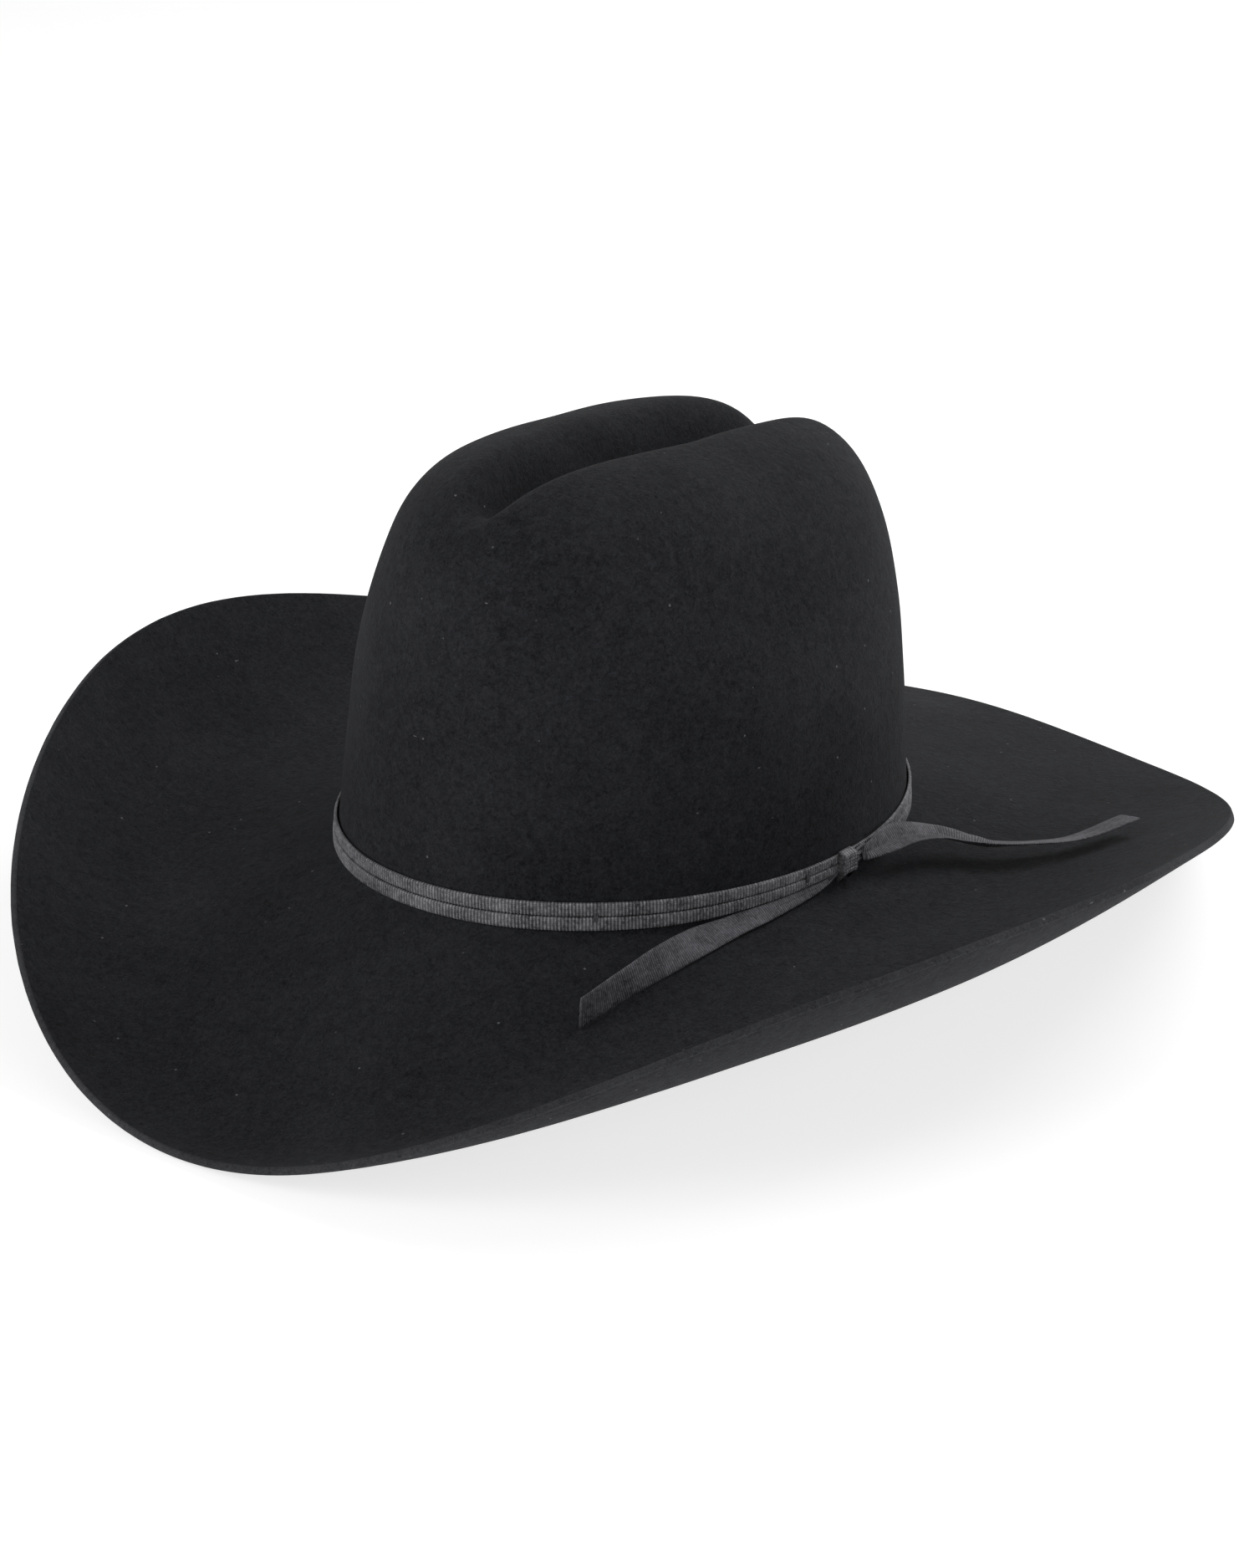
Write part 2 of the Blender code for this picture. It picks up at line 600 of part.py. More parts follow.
def build_rear_bow(frame, stand_off):
    """The small bow that ties the sweatband's ends at the back: one looped ribbon and its knot."""
    height = sweatband_foot() + SWEATBAND_HEIGHT / 4
    centre = wall_line(np.array([math.pi]), height, stand_off - BOW_LOOP / 2 - BOW_THICKNESS)[0]
    inward = -outward(np.array([math.pi]))[0]
    sideways = np.cross(UP, inward)
    turns = np.arange(40) * 2 * math.pi / 40
    waist = BOW_THICKNESS + GAP
    along = BOW_SPAN / 2 * np.cos(turns)
    swell = np.abs(np.cos(turns)) ** 1.2
    away = np.sin(turns) * (waist + (BOW_LOOP - waist) * swell) / 2
    away = np.where(np.abs(away) < 1e-9, 0, away)
    edge_of_waist = np.sign(np.sin(turns)) * waist / 2 * (1 - np.abs(np.cos(turns)))
    route = centre + along[:, None] * sideways + (away + edge_of_waist)[:, None] * inward
    upright = np.repeat(UP[None], len(turns), axis=0)
    heading = unit(np.roll(route, -1, axis=0) - np.roll(route, 1, axis=0))
    out = np.cross(heading, upright)
    width = 0.55 + 0.45 * np.abs(np.cos(turns))
    section = box_section(BOW_RIBBON, BOW_THICKNESS) * np.stack([width, np.ones(len(turns))], -1)[:, None]
    swept("rear_bow_ribbon", route, upright, out, section, True, BLACK_LEATHER, frame)

    tall = 0.55 * BOW_RIBBON / 2 + 2 * GAP + BOW_THICKNESS
    deep = waist + BOW_THICKNESS / 2 + 2 * GAP + BOW_THICKNESS
    turns = np.arange(16) * 2 * math.pi / 16
    squared = (np.abs(np.cos(turns)) ** 4 + np.abs(np.sin(turns)) ** 4) ** -0.25
    route = centre + (tall * squared * np.cos(turns))[:, None] * UP
    route = route + (deep * squared * np.sin(turns))[:, None] * inward
    across = np.repeat(sideways[None], len(turns), axis=0)
    heading = unit(np.roll(route, -1, axis=0) - np.roll(route, 1, axis=0))
    section = box_section(0.6 * BOW_RIBBON, BOW_THICKNESS)
    swept("rear_bow_knot", route, across, np.cross(heading, across), section, True, BLACK_LEATHER, frame)


def main():
    for old in list(bpy.data.objects):
        bpy.data.objects.remove(old)
    frame = build_felt()
    build_band(frame)
    build_bow(frame)
    build_tails(frame)
    build_rear_bow(frame, build_sweatband(frame))
    build_lining(frame)


main()
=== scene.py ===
import math

import bpy
import numpy as np
from mathutils import Matrix, Vector
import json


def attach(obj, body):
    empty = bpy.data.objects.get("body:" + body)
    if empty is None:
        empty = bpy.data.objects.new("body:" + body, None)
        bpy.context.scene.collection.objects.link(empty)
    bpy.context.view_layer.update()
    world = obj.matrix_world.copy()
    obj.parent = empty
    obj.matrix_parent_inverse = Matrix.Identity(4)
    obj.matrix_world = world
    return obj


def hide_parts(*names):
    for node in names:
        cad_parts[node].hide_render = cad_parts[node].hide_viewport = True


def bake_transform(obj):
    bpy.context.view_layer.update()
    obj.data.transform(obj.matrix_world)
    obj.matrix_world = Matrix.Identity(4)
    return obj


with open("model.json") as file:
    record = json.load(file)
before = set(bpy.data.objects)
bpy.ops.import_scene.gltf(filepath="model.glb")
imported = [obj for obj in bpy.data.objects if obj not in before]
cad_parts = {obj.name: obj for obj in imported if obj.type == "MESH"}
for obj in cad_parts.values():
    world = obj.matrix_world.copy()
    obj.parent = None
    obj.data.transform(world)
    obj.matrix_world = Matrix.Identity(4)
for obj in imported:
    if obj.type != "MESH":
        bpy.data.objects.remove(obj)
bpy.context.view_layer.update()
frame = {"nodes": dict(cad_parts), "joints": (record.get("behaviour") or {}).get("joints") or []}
print("frame loaded:", len(frame["nodes"]), "nodes")

# Hat coordinates: the middle of the break (where brim and crown meet), front along -Y, wearer's left +X.
# Angles go round the oval from the front towards the wearer's left.
hat = {
    "ovalLength": 0.204,
    "ovalWidth": 0.171,
    "breakRise": (0.0005, 0.0008),
    "felt": 0.0024,
    "fillet": 0.0026,
    "pad": 0.0002,  # how close to the floor its underside is pressed flat
}
brim = {
    "width": 0.108,
    # out to the side, forward and up, in brim widths, every 30 degrees from the front
    "edge": (
        (0.000, 0.969, -0.328),
        (0.505, 0.794, -0.076),
        (0.835, 0.383, 0.224),
        (0.989, -0.033, 0.288),
        (0.736, -0.641, 0.036),
        (0.279, -0.995, -0.194),
        (0.000, -0.935, -0.170),
    ),
    "slope": (-0.52, -0.24, -0.22, -0.18),  # every 60 degrees
    "curl": (4.3, 3.6, 2.25, 3.6),
    "waviness": 0.00022,
}
crown = {
    "height": 0.1288,
    "fall": 0.045,
    "taper": (0.127, 0.092),
    "backShift": 0.0065,
    "squareness": (5.2, 3.4, 6.0),
    "creaseDepth": 0.032,
    "creaseHalfWidth": 0.0121,
    "creaseFront": -0.082,
    "creaseRunIn": 0.0468,
    "creaseNarrowing": 0.6,
    "creaseFade": (0.020, 0.095, 0.4),  # from, to, share left
    "dentDepth": 0.006,
    "dentCentre": (-0.025, 0.092),
    "dentSize": (0.040, 0.019),
    "waviness": 0.0003,
}
upward = np.array([0.0, 0.0, 1.0])


def smoothStep(value):
    value = np.clip(value, 0, 1)
    return value * value * (3 - 2 * value)


def unit(vectors):
    return vectors / np.linalg.norm(vectors, axis=-1, keepdims=True)


def throughStations(values, angles, odd=False):  # smooth round the hat, the same on both sides
    values = np.array(values, float)
    at = np.linspace(0, math.pi, len(values))
    wave = np.sin if odd else np.cos
    orders = np.arange(1, len(values) - 1) if odd else np.arange(len(values))
    rows = slice(1, -1) if odd else slice(None)
    weights = np.linalg.solve(wave(np.outer(at[rows], orders)), values[rows])
    return wave(np.outer(angles, orders)) @ weights


def breakLine(angles):
    x = hat["ovalWidth"] / 2 * np.sin(angles)
    y = -hat["ovalLength"] / 2 * np.cos(angles)
    z = hat["breakRise"][0] * np.cos(angles) + hat["breakRise"][1] * np.cos(2 * angles)
    return np.stack([x, y, z], -1)


def outward(angles):
    x = np.sin(angles) / hat["ovalWidth"]
    y = -np.cos(angles) / hat["ovalLength"]
    return np.stack([x, y, 0 * x], -1) / np.hypot(x, y)[:, None]


def brimLine(angles, reach):  # reach 0 is the break, 1 the edge
    start = breakLine(angles)
    side, forward, rise = (
        brim["width"] * throughStations([station[axis] for station in brim["edge"]], angles, odd=axis == 0)
        for axis in range(3)
    )
    dip = throughStations(brim["slope"], angles) * np.hypot(side, forward)
    curl = throughStations(brim["curl"], angles)
    height = start[:, 2] * (1 - reach) + dip * reach + (rise - dip) * reach**curl
    return np.stack([start[:, 0] + side * reach, start[:, 1] - forward * reach, height], -1)


def squareness(angles):
    front, side, back = crown["squareness"]
    ends = np.where(np.cos(angles) > 0, front, back)
    return side + (ends - side) * np.cos(angles) ** 2


def sideDent(y, z, spread):
    dentY, dentZ = crown["dentCentre"]
    long, tall = crown["dentSize"]
    dent = np.exp(-(((y - dentY) / long) ** 2) - ((z - dentZ) / tall) ** 2)
    return crown["dentDepth"] * dent * smoothStep((spread - 0.35) / 0.4)


def wallLine(angles, height, standOff=0.0):  # a line round the crown at a height over the break
    share = height / crown["height"]
    power = squareness(angles)
    spread = (1 - share**power) ** (1 / power)
    x = spread * hat["ovalWidth"] / 2 * (1 - crown["taper"][0] * share) * np.sin(angles)
    y = -spread * hat["ovalLength"] / 2 * (1 - crown["taper"][1] * share) * np.cos(angles)
    y = y + crown["backShift"] * share
    z = breakLine(angles)[:, 2] * (1 - share) + height
    x = x - sideDent(y, z, spread) * np.sin(angles)
    return np.stack([x, y, z], -1) + np.multiply(standOff, outward(angles).T).T


def crownLine(angles, climb):  # climb 0 is the break, 1 the middle of the top
    power = squareness(angles)
    across, up = math.cos(climb * math.pi / 2), math.sin(climb * math.pi / 2)
    radius = (across**power + up**power) ** (-1 / power)
    spread, share = radius * across, radius * up
    x = spread * hat["ovalWidth"] / 2 * (1 - crown["taper"][0] * share) * np.sin(angles)
    y = -spread * hat["ovalLength"] / 2 * (1 - crown["taper"][1] * share) * np.cos(angles)
    y = y + crown["backShift"] * share
    z = breakLine(angles)[:, 2] * (1 - share) + (crown["height"] - crown["fall"] * y) * share
    runIn = (y - crown["creaseFront"]) / crown["creaseRunIn"]
    narrow = crown["creaseNarrowing"]
    halfWidth = crown["creaseHalfWidth"] * (narrow + (1 - narrow) * smoothStep(runIn / 2))
    fadeFrom, fadeTo, shareLeft = crown["creaseFade"]
    fade = smoothStep((y - fadeFrom) / (fadeTo - fadeFrom)) * (1 - shareLeft)
    valley = np.exp(-((np.abs(x) / halfWidth) ** 2.4)) * smoothStep(runIn) * (1 - fade)
    z = z - crown["creaseDepth"] * valley * smoothStep((share - 0.5) / 0.4)
    return np.stack([x - sideDent(y, z, spread) * np.sin(angles), y, z], -1)


def wallPoint(degrees, height, standOff):
    return wallLine(np.radians([degrees]), height, standOff)[0]


def degreesAlong(length):  # at the side of the oval
    return math.degrees(length / (hat["ovalLength"] / 2))


# Sizes of the trimmings, in metres, as they are in the frame
band = {
    "row": 0.0043,
    "thickness": 0.0009,
    "foot": 0.0011,
    "standOff": 0.0005,
    "gap": 0.0003,
    "seam": 0.00006,  # what shows between the rows
    "pulled": (0.35, 26.0),  # share of its height lost at the bow, and over how many degrees
}
tails = {
    "width": 0.010,
    "thickness": 0.0008,
    "keeperAngle": 90.0,
    "keeperWidth": 0.006,
    "pinchWidth": 0.0065,
    "frontRoot": 0.008,  # from the middle of the keeper
    "clearance": 0.0012,
    "frontBlend": (0.0050, 0.0130),  # from the middle of the keeper
    # the front end's lower edge: distance outside the oval's widest place, y, height over the brim
    "front": (
        (0.0014, -0.003, 0.0050),
        (0.0014, -0.009, 0.0028),
        (0.0008, -0.018, 0.0010),
        (0.0003, -0.037, 0.0008),
        (-0.0012, -0.050, 0.0008),
        (-0.0038, -0.072, 0.0008),
        (-0.0080, -0.092, 0.0008),
        (-0.0128, -0.1132, 0.0009),
    ),
    "frontTuck": 0.0002,  # from its upper edge to the band's foot, where it leans on the wall
    "frontWidth": 0.0094,
    # y, and the degrees that its width rises over level
    "frontRise": ((-0.113, 92), (-0.092, 80), (-0.0735, 51), (-0.052, 18), (-0.040, 4)),
    "frontSlant": 0.0026,  # how far the cut end falls back from one edge to the other
    "rearSlant": 0.0008,
    # the rear end's middle line, measured the same way
    "rear": (
        (0.0050, 0.0260, 0.0108),
        (0.0095, 0.0397, 0.0092),
        (0.0167, 0.0468, 0.0073),
        (0.0234, 0.0510, 0.0065),
        (0.0328, 0.0610, 0.0056),
        (0.0405, 0.0732, 0.0048),
        (0.0460, 0.0963, 0.0057),
    ),
    "rearRoot": 0.0022,  # how far its root lies over the middle of the band
    "rearGathered": 0.5,  # share of its width at the root
    "rearFold": 0.0018,
    "rearFoldShares": (0.1, 0.42, 0.62),  # shares of its length: full, full until, flat again
    "rearSpread": 0.16,  # share of its length where it has its whole width
    "rearTuck": (0.0028, 0.002),  # how far under the pleats it starts, and bends
    "rearTwist": ((0, -60), (0.14, -28), (0.27, -12), (0.37, 3), (0.47, 16), (0.6, 19), (0.8, 16), (1, 13)),
}


def bandHeight():
    return 2 * band["row"] + band["gap"]


def bandShare(angles):  # the bow's knot pulls the band's lower edge up
    lost, over = band["pulled"]
    away = np.degrees(angles) % 360 - tails["keeperAngle"]
    return 1 - lost * np.exp(-((away / over) ** 2))


def bandLevel(angles, height):
    top = band["foot"] + bandHeight()
    return top - (top - height) * bandShare(angles)


def bandFace(row=0):  # stand-off of the band's middle, or of the ribbon over it
    inner = band["standOff"] + band["thickness"] / 2
    return inner if row == 0 else inner + band["thickness"] / 2 + band["gap"] + tails["thickness"] / 2


# How the hat stands, read back from the frame's hinge at the front ribbon end
joints = {joint["name"]: joint for joint in frame["joints"]}
swing = joints["front_tail_swing"]
frontRoot = wallPoint(
    tails["keeperAngle"] - degreesAlong(tails["frontRoot"]),
    band["foot"] + bandHeight() / 2,
    bandFace(1) + tails["thickness"] + tails["clearance"],
)
tip = math.atan2(swing["axis"][1], swing["axis"][2])
stance = np.array(Matrix.Rotation(-tip, 3, "X"))
standing = np.array(swing["pos_m"]) - stance @ frontRoot
standing[0] = 0


def toWorld(points):
    return np.asarray(points) @ stance.T + standing


def ripple(points, wavelength, seed):  # gentle unevenness between -1 and 1
    source = np.random.default_rng(seed)
    total = 0
    for _ in range(7):
        direction = unit(source.normal(size=3)) * 2 * math.pi / (wavelength * source.uniform(0.6, 1.6))
        total = total + np.sin(points @ direction + source.uniform(0, 2 * math.pi))
    return total / 7


def buildMesh(name, points, faces, material, place=None, world=True):
    mesh = bpy.data.meshes.new(name)
    mesh.from_pydata([tuple(point) for point in (toWorld(points) if world else points)], [], faces)
    mesh.materials.append(material)
    mesh.shade_smooth()
    mesh.validate()
    if place is not None:  # distance along and across the cloth, for its weave
        attribute = mesh.attributes.new("place", "FLOAT_VECTOR", "POINT")
        attribute.data.foreach_set("vector", np.asarray(place, np.float32).ravel())
    made = bpy.data.objects.new(name, mesh)
    bpy.context.scene.collection.objects.link(made)
    return made


def gridFaces(rows, columns, closedRows=False, closedColumns=True):
    faces = []
    for row in range(rows if closedRows else rows - 1):
        here, above = row * columns, (row + 1) % rows * columns
        for column in range(columns if closedColumns else columns - 1):
            beside = (column + 1) % columns
            faces.append((here + column, here + beside, above + beside, above + column))
    return faces


def poleFaces(ring, pole, flip):
    loop = [(ring[i], ring[(i + 1) % len(ring)], pole) for i in range(len(ring))]
    return [face[::-1] for face in loop] if flip else loop


def sweep(name, centres, across, out, sections, material, closed=False, along=None):
    # sections holds (across, out) points for one ring, or a ring for each centre
    sections = np.asarray(sections, float)
    if sections.ndim == 2:
        sections = np.repeat(sections[None], len(centres), axis=0)
    points = centres[:, None] + sections[..., :1] * across[:, None] + sections[..., 1:] * out[:, None]
    rows, columns = points.shape[:2]
    faces = gridFaces(rows, columns, closedRows=closed)
    points = points.reshape(-1, 3)
    if not closed:
        ends = [centres[0], centres[-1]]
        points = np.concatenate([points, ends])
        last = (rows - 1) * columns
        faces += poleFaces(list(range(columns)), rows * columns, True)
        faces += poleFaces(list(range(last, last + columns)), rows * columns + 1, False)
    turn = np.cross(across[0], out[0]) @ (centres[1] - centres[0])
    ring = sections[0]
    area = np.sum(ring[:, 0] * np.roll(ring[:, 1], -1) - np.roll(ring[:, 0], -1) * ring[:, 1])
    if turn * area < 0:
        faces = [face[::-1] for face in faces]
    steps = np.linalg.norm(np.diff(centres, axis=0), axis=1)
    run = np.concatenate([[0], np.cumsum(steps)]) if along is None else along
    place = np.zeros((rows, columns, 3))
    place[..., 0] = run[:, None]
    place[..., 1] = sections[..., 0]
    place[..., 2] = sections[..., 1]
    place = place.reshape(-1, 3)
    if not closed:
        place = np.concatenate([place, [[run[0], 0, 0], [run[-1], 0, 0]]])
    return buildMesh(name, points, faces, material, place)


def sameWay(direction, count):
    return np.repeat(np.asarray(direction, float)[None], count, axis=0)


def smoothRoute(points, spacing):  # Catmull-Rom, evenly spaced
    points = np.array(points, float)
    ends = np.concatenate([[2 * points[0] - points[1]], points, [2 * points[-1] - points[-2]]])
    route = []
    for index in range(len(points) - 1):
        a, b, c, d = ends[index : index + 4]
        for share in np.linspace(0, 1, 40, endpoint=False):
            bend, twist = 2 * a - 5 * b + 4 * c - d, 3 * b - a - 3 * c + d
            route.append(0.5 * (2 * b + (c - a) * share + bend * share**2 + twist * share**3))
    route = np.array([*route, points[-1]])
    run = np.concatenate([[0], np.cumsum(np.linalg.norm(np.diff(route, axis=0), axis=1))])
    even = np.linspace(0, run[-1], max(2, round(run[-1] / spacing)) + 1)
    return np.stack([np.interp(even, run, route[:, axis]) for axis in range(3)], -1), even / run[-1]


def clothSection(width, thickness, centreGroove=0.0, count=9):
    # a ribbon cut across: soft selvedges, and a groove along the middle where two rows meet
    across = np.linspace(-1, 1, count)
    bulge = (1 - np.abs(across) ** 6) ** 0.5
    groove = 1 - centreGroove * np.exp(-((across / 0.07) ** 2))
    half = thickness / 2 * np.maximum(bulge, 0.25) * groove
    top = np.stack([across * width / 2, half], -1)
    under = np.stack([across[::-1] * width / 2, -half[::-1]], -1)
    return np.concatenate([top[::-1], under[::-1]])


def roundSection(radius, sides=10):
    turns = np.arange(sides) * 2 * math.pi / sides
    return np.stack([radius * np.cos(turns), radius * np.sin(turns)], -1)


def rgb(red, green, blue):
    return (red, green, blue, 1.0)


def addNode(tree, kind, links=None, **settings):
    node = tree.nodes.new(kind)
    for key, value in settings.items():
        setattr(node, key, value)
    for socket, value in (links or {}).items():
        if isinstance(value, bpy.types.NodeSocket):
            tree.links.new(value, node.inputs[socket])
        else:
            node.inputs[socket].default_value = value
    return node


def makeGroup(name, takes, gives=("Colour", "Roughness", "Height")):
    group = bpy.data.node_groups.new(name, "ShaderNodeTree")
    for socket, value in takes.items():
        kind = "NodeSocketColor" if isinstance(value, tuple) else "NodeSocketFloat"
        made = group.interface.new_socket(name=socket, in_out="INPUT", socket_type=kind)
        made.default_value = value
    for socket in gives:
        kind = "NodeSocketColor" if socket == "Colour" else "NodeSocketFloat"
        group.interface.new_socket(name=socket, in_out="OUTPUT", socket_type=kind)
    given = group.nodes.new("NodeGroupInput").outputs
    result = group.nodes.new("NodeGroupOutput")
    return group, given, result


def finishGroup(group, result, values):
    for socket, value in values.items():
        group.links.new(value, result.inputs[socket])
    return group


def placeGroup(tree, group, values):
    return addNode(tree, "ShaderNodeGroup", values, node_tree=group).outputs


def maths(tree, operation, *values):
    return addNode(tree, "ShaderNodeMath", dict(enumerate(values)), operation=operation).outputs[0]


def blendColour(tree, amount, first, second):
    links = {0: amount, 6: first, 7: second}
    return addNode(tree, "ShaderNodeMix", links, data_type="RGBA").outputs[2]


def remap(tree, value, low, high, to=(0.0, 1.0)):
    links = {"Value": value, "From Min": low, "From Max": high, "To Min": to[0], "To Max": to[1]}
    return addNode(tree, "ShaderNodeMapRange", links).outputs["Result"]


def noise(tree, place, scale, detail=2.0, rough=0.5, distort=0.0):
    links = {"Vector": place, "Scale": scale, "Detail": detail, "Roughness": rough, "Distortion": distort}
    return addNode(tree, "ShaderNodeTexNoise", links).outputs["Fac"]


def objectPlace(tree):
    return tree.nodes.new("ShaderNodeTexCoord").outputs["Object"]


def makeNapGroup():  # matted fibres: short nap, soft mottling
    takes = {
        "Colour": rgb(0.02, 0.02, 0.02),
        "Tips": rgb(0.05, 0.05, 0.055),
        "Fibre Size": 0.0008,
        "Mottling": 0.3,
    }
    group, given, result = makeGroup("matted nap", takes)
    place = objectPlace(group)
    fine = maths(group, "DIVIDE", 1.0, given["Fibre Size"])
    fibres = noise(group, place, fine, 3.0, 0.7, 1.2)
    coarse = noise(group, place, maths(group, "MULTIPLY", fine, 0.3), 4.0, 0.65, 0.8)
    cloud = noise(group, place, 26.0, 3.0, 0.55)
    matted = maths(group, "MULTIPLY", remap(group, coarse, 0.3, 0.7), 0.35)
    lift = maths(group, "ADD", maths(group, "MULTIPLY", remap(group, fibres, 0.34, 0.66), 0.6), matted)
    cloudy = maths(group, "MULTIPLY", remap(group, cloud, 0.35, 0.7), given["Mottling"])
    shade = maths(group, "ADD", maths(group, "MULTIPLY", lift, 0.8), cloudy)
    colour = blendColour(group, shade, given["Colour"], given["Tips"])
    rough = remap(group, fibres, 0.3, 0.7, (0.8, 1.0))
    height = maths(group, "ADD", fibres, maths(group, "MULTIPLY", coarse, 1.5))
    return finishGroup(group, result, {"Colour": colour, "Roughness": rough, "Height": height})


def makeLintGroup():  # pale specks and short hairs that settle on dark cloth
    takes = {
        "Colour": rgb(0.02, 0.02, 0.02),
        "Lint": rgb(0.3, 0.3, 0.32),
        "Amount": 0.3,
        "Spacing": 0.004,
    }
    group, given, result = makeGroup("settled lint", takes, ("Colour",))
    place = objectPlace(group)
    scale = maths(group, "DIVIDE", 1.0, given["Spacing"])
    mask = None
    for stretch, size in (((1, 1, 1), 0.045), ((1, 0.22, 1), 0.022), ((0.2, 1, 1), 0.02)):
        mapped = addNode(group, "ShaderNodeMapping", {"Vector": place, "Scale": stretch}).outputs["Vector"]
        cells = addNode(group, "ShaderNodeTexVoronoi", {"Vector": mapped, "Scale": scale})
        chosen = maths(group, "LESS_THAN", cells.outputs["Color"], given["Amount"])
        speck = remap(group, cells.outputs["Distance"], size * 1.8, size)
        found = maths(group, "MULTIPLY", speck, chosen)
        mask = found if mask is None else maths(group, "MAXIMUM", mask, found)
    colour = blendColour(group, mask, given["Colour"], given["Lint"])
    return finishGroup(group, result, {"Colour": colour})


def makeWeaveGroup():  # threads along and across a ribbon, from its "place" attribute, with a painted highlight on the rib crests and threads
    takes = {
        "Colour": rgb(0.05, 0.05, 0.05),
        "Painted Highlight": rgb(0.12, 0.12, 0.13),
        "Rib": 0.001,
        "Thread": 0.0003,
    }
    group, given, result = makeGroup("ribbed weave with painted highlight", takes)
    source = addNode(group, "ShaderNodeAttribute", attribute_name="place").outputs["Vector"]
    parts = addNode(group, "ShaderNodeSeparateXYZ", {"Vector": source}).outputs
    circle = 2 * math.pi
    turn = maths(group, "MULTIPLY", maths(group, "DIVIDE", parts["X"], given["Rib"]), circle)
    rib = remap(group, maths(group, "COSINE", turn), -1.0, 1.0)
    turn = maths(group, "MULTIPLY", maths(group, "DIVIDE", parts["Y"], given["Thread"]), circle)
    thread = remap(group, maths(group, "COSINE", turn), -1.0, 1.0)
    patchy = noise(group, objectPlace(group), 900.0, 3.0, 0.6)
    wide = noise(group, objectPlace(group), 120.0, 2.0, 0.5)
    # painted highlight: the rib crests and threads are coloured lighter, in patches of random strength
    woven = maths(group, "ADD", maths(group, "MULTIPLY", rib, 0.75), maths(group, "MULTIPLY", thread, 0.25))
    light = maths(group, "MULTIPLY", remap(group, patchy, 0.3, 0.7), woven)
    light = maths(group, "ADD", light, maths(group, "MULTIPLY", remap(group, wide, 0.35, 0.7), 0.25))
    colour = blendColour(group, light, given["Colour"], given["Painted Highlight"])
    rough = remap(group, patchy, 0.3, 0.7, (0.5, 0.72))
    height = maths(group, "ADD", maths(group, "MULTIPLY", thread, 0.5), rib)
    return finishGroup(group, result, {"Colour": colour, "Roughness": rough, "Height": height})


def makeGrainGroup():  # leather pores and fine wrinkles
    takes = {
        "Colour": rgb(0.03, 0.03, 0.03),
        "Worn": rgb(0.08, 0.07, 0.06),
        "Grain": 0.001,
    }
    group, given, result = makeGroup("leather grain", takes)
    place = objectPlace(group)
    scale = maths(group, "DIVIDE", 1.0, given["Grain"])
    links = {"Vector": place, "Scale": scale}
    cells = addNode(group, "ShaderNodeTexVoronoi", links, feature="DISTANCE_TO_EDGE")
    pores = remap(group, cells.outputs["Distance"], 0.0, 0.22)
    wrinkle = noise(group, place, 140.0, 5.0, 0.6, 0.6)
    wear = remap(group, noise(group, place, 35.0, 3.0, 0.6), 0.5, 0.8)
    colour = blendColour(group, maths(group, "MULTIPLY", wear, pores), given["Colour"], given["Worn"])
    rough = remap(group, wrinkle, 0.3, 0.7, (0.42, 0.62))
    height = maths(group, "ADD", pores, wrinkle)
    return finishGroup(group, result, {"Colour": colour, "Roughness": rough, "Height": height})


napGroup, lintGroup = makeNapGroup(), makeLintGroup()
weaveGroup, grainGroup = makeWeaveGroup(), makeGrainGroup()


def makeMaterial(name, group, values, bump, lint=None, shader=None):
    material = bpy.data.materials.new(name)
    material.use_nodes = True
    tree = material.node_tree
    surface = tree.nodes["Principled BSDF"]
    made = placeGroup(tree, group, values)
    colour = made["Colour"]
    if lint:
        colour = placeGroup(tree, lintGroup, {"Colour": colour, **lint})["Colour"]
    tree.links.new(colour, surface.inputs["Base Color"])
    tree.links.new(made["Roughness"], surface.inputs["Roughness"])
    strength, distance = bump
    links = {"Height": made["Height"], "Strength": strength, "Distance": distance}
    raised = addNode(tree, "ShaderNodeBump", links)
    tree.links.new(raised.outputs["Normal"], surface.inputs["Normal"])
    for socket, value in (shader or {}).items():
        surface.inputs[socket].default_value = value
    return material


feltLook = {
    "Colour": rgb(0.0010, 0.0011, 0.0018),
    "Tips": rgb(0.0420, 0.0433, 0.0490),
    "Fibre Size": 0.0010,
    "Mottling": 0.16,
}
feltSheen = {"Sheen Weight": 0.035, "Sheen Roughness": 0.5, "Specular IOR Level": 0.08}
feltLint = {"Lint": rgb(0.13, 0.13, 0.14), "Amount": 0.30, "Spacing": 0.006}
feltMaterial = makeMaterial("black wool felt", napGroup, feltLook, (0.55, 0.0007), feltLint, feltSheen)
# the raw cut's felt is coloured lighter than the hat's surface: a painted highlight along the brim's edge
cutEdgeHighlight = {"Colour": rgb(0.012, 0.0122, 0.014), "Tips": rgb(0.075, 0.076, 0.083), "Fibre Size": 0.0006}
cutEdgeHighlightMaterial = makeMaterial("cut felt edge with painted highlight", napGroup, cutEdgeHighlight, (0.6, 0.0008), feltLint, feltSheen)
# the lighter colour is painted on the rib crests and threads as a painted highlight
ribbonLook = {
    "Colour": rgb(0.030, 0.030, 0.034),
    "Painted Highlight": rgb(0.43, 0.425, 0.45),
    "Rib": 0.00105,
    "Thread": 0.0006,
}
ribbonSheen = {"Sheen Weight": 0.05, "Sheen Roughness": 0.35, "Specular IOR Level": 0.3}
ribbonLint = {"Lint": rgb(0.25, 0.25, 0.27), "Amount": 0.12, "Spacing": 0.003}
ribbonMaterial = makeMaterial("ribbed ribbon", weaveGroup, ribbonLook, (0.5, 0.0002), ribbonLint, ribbonSheen)
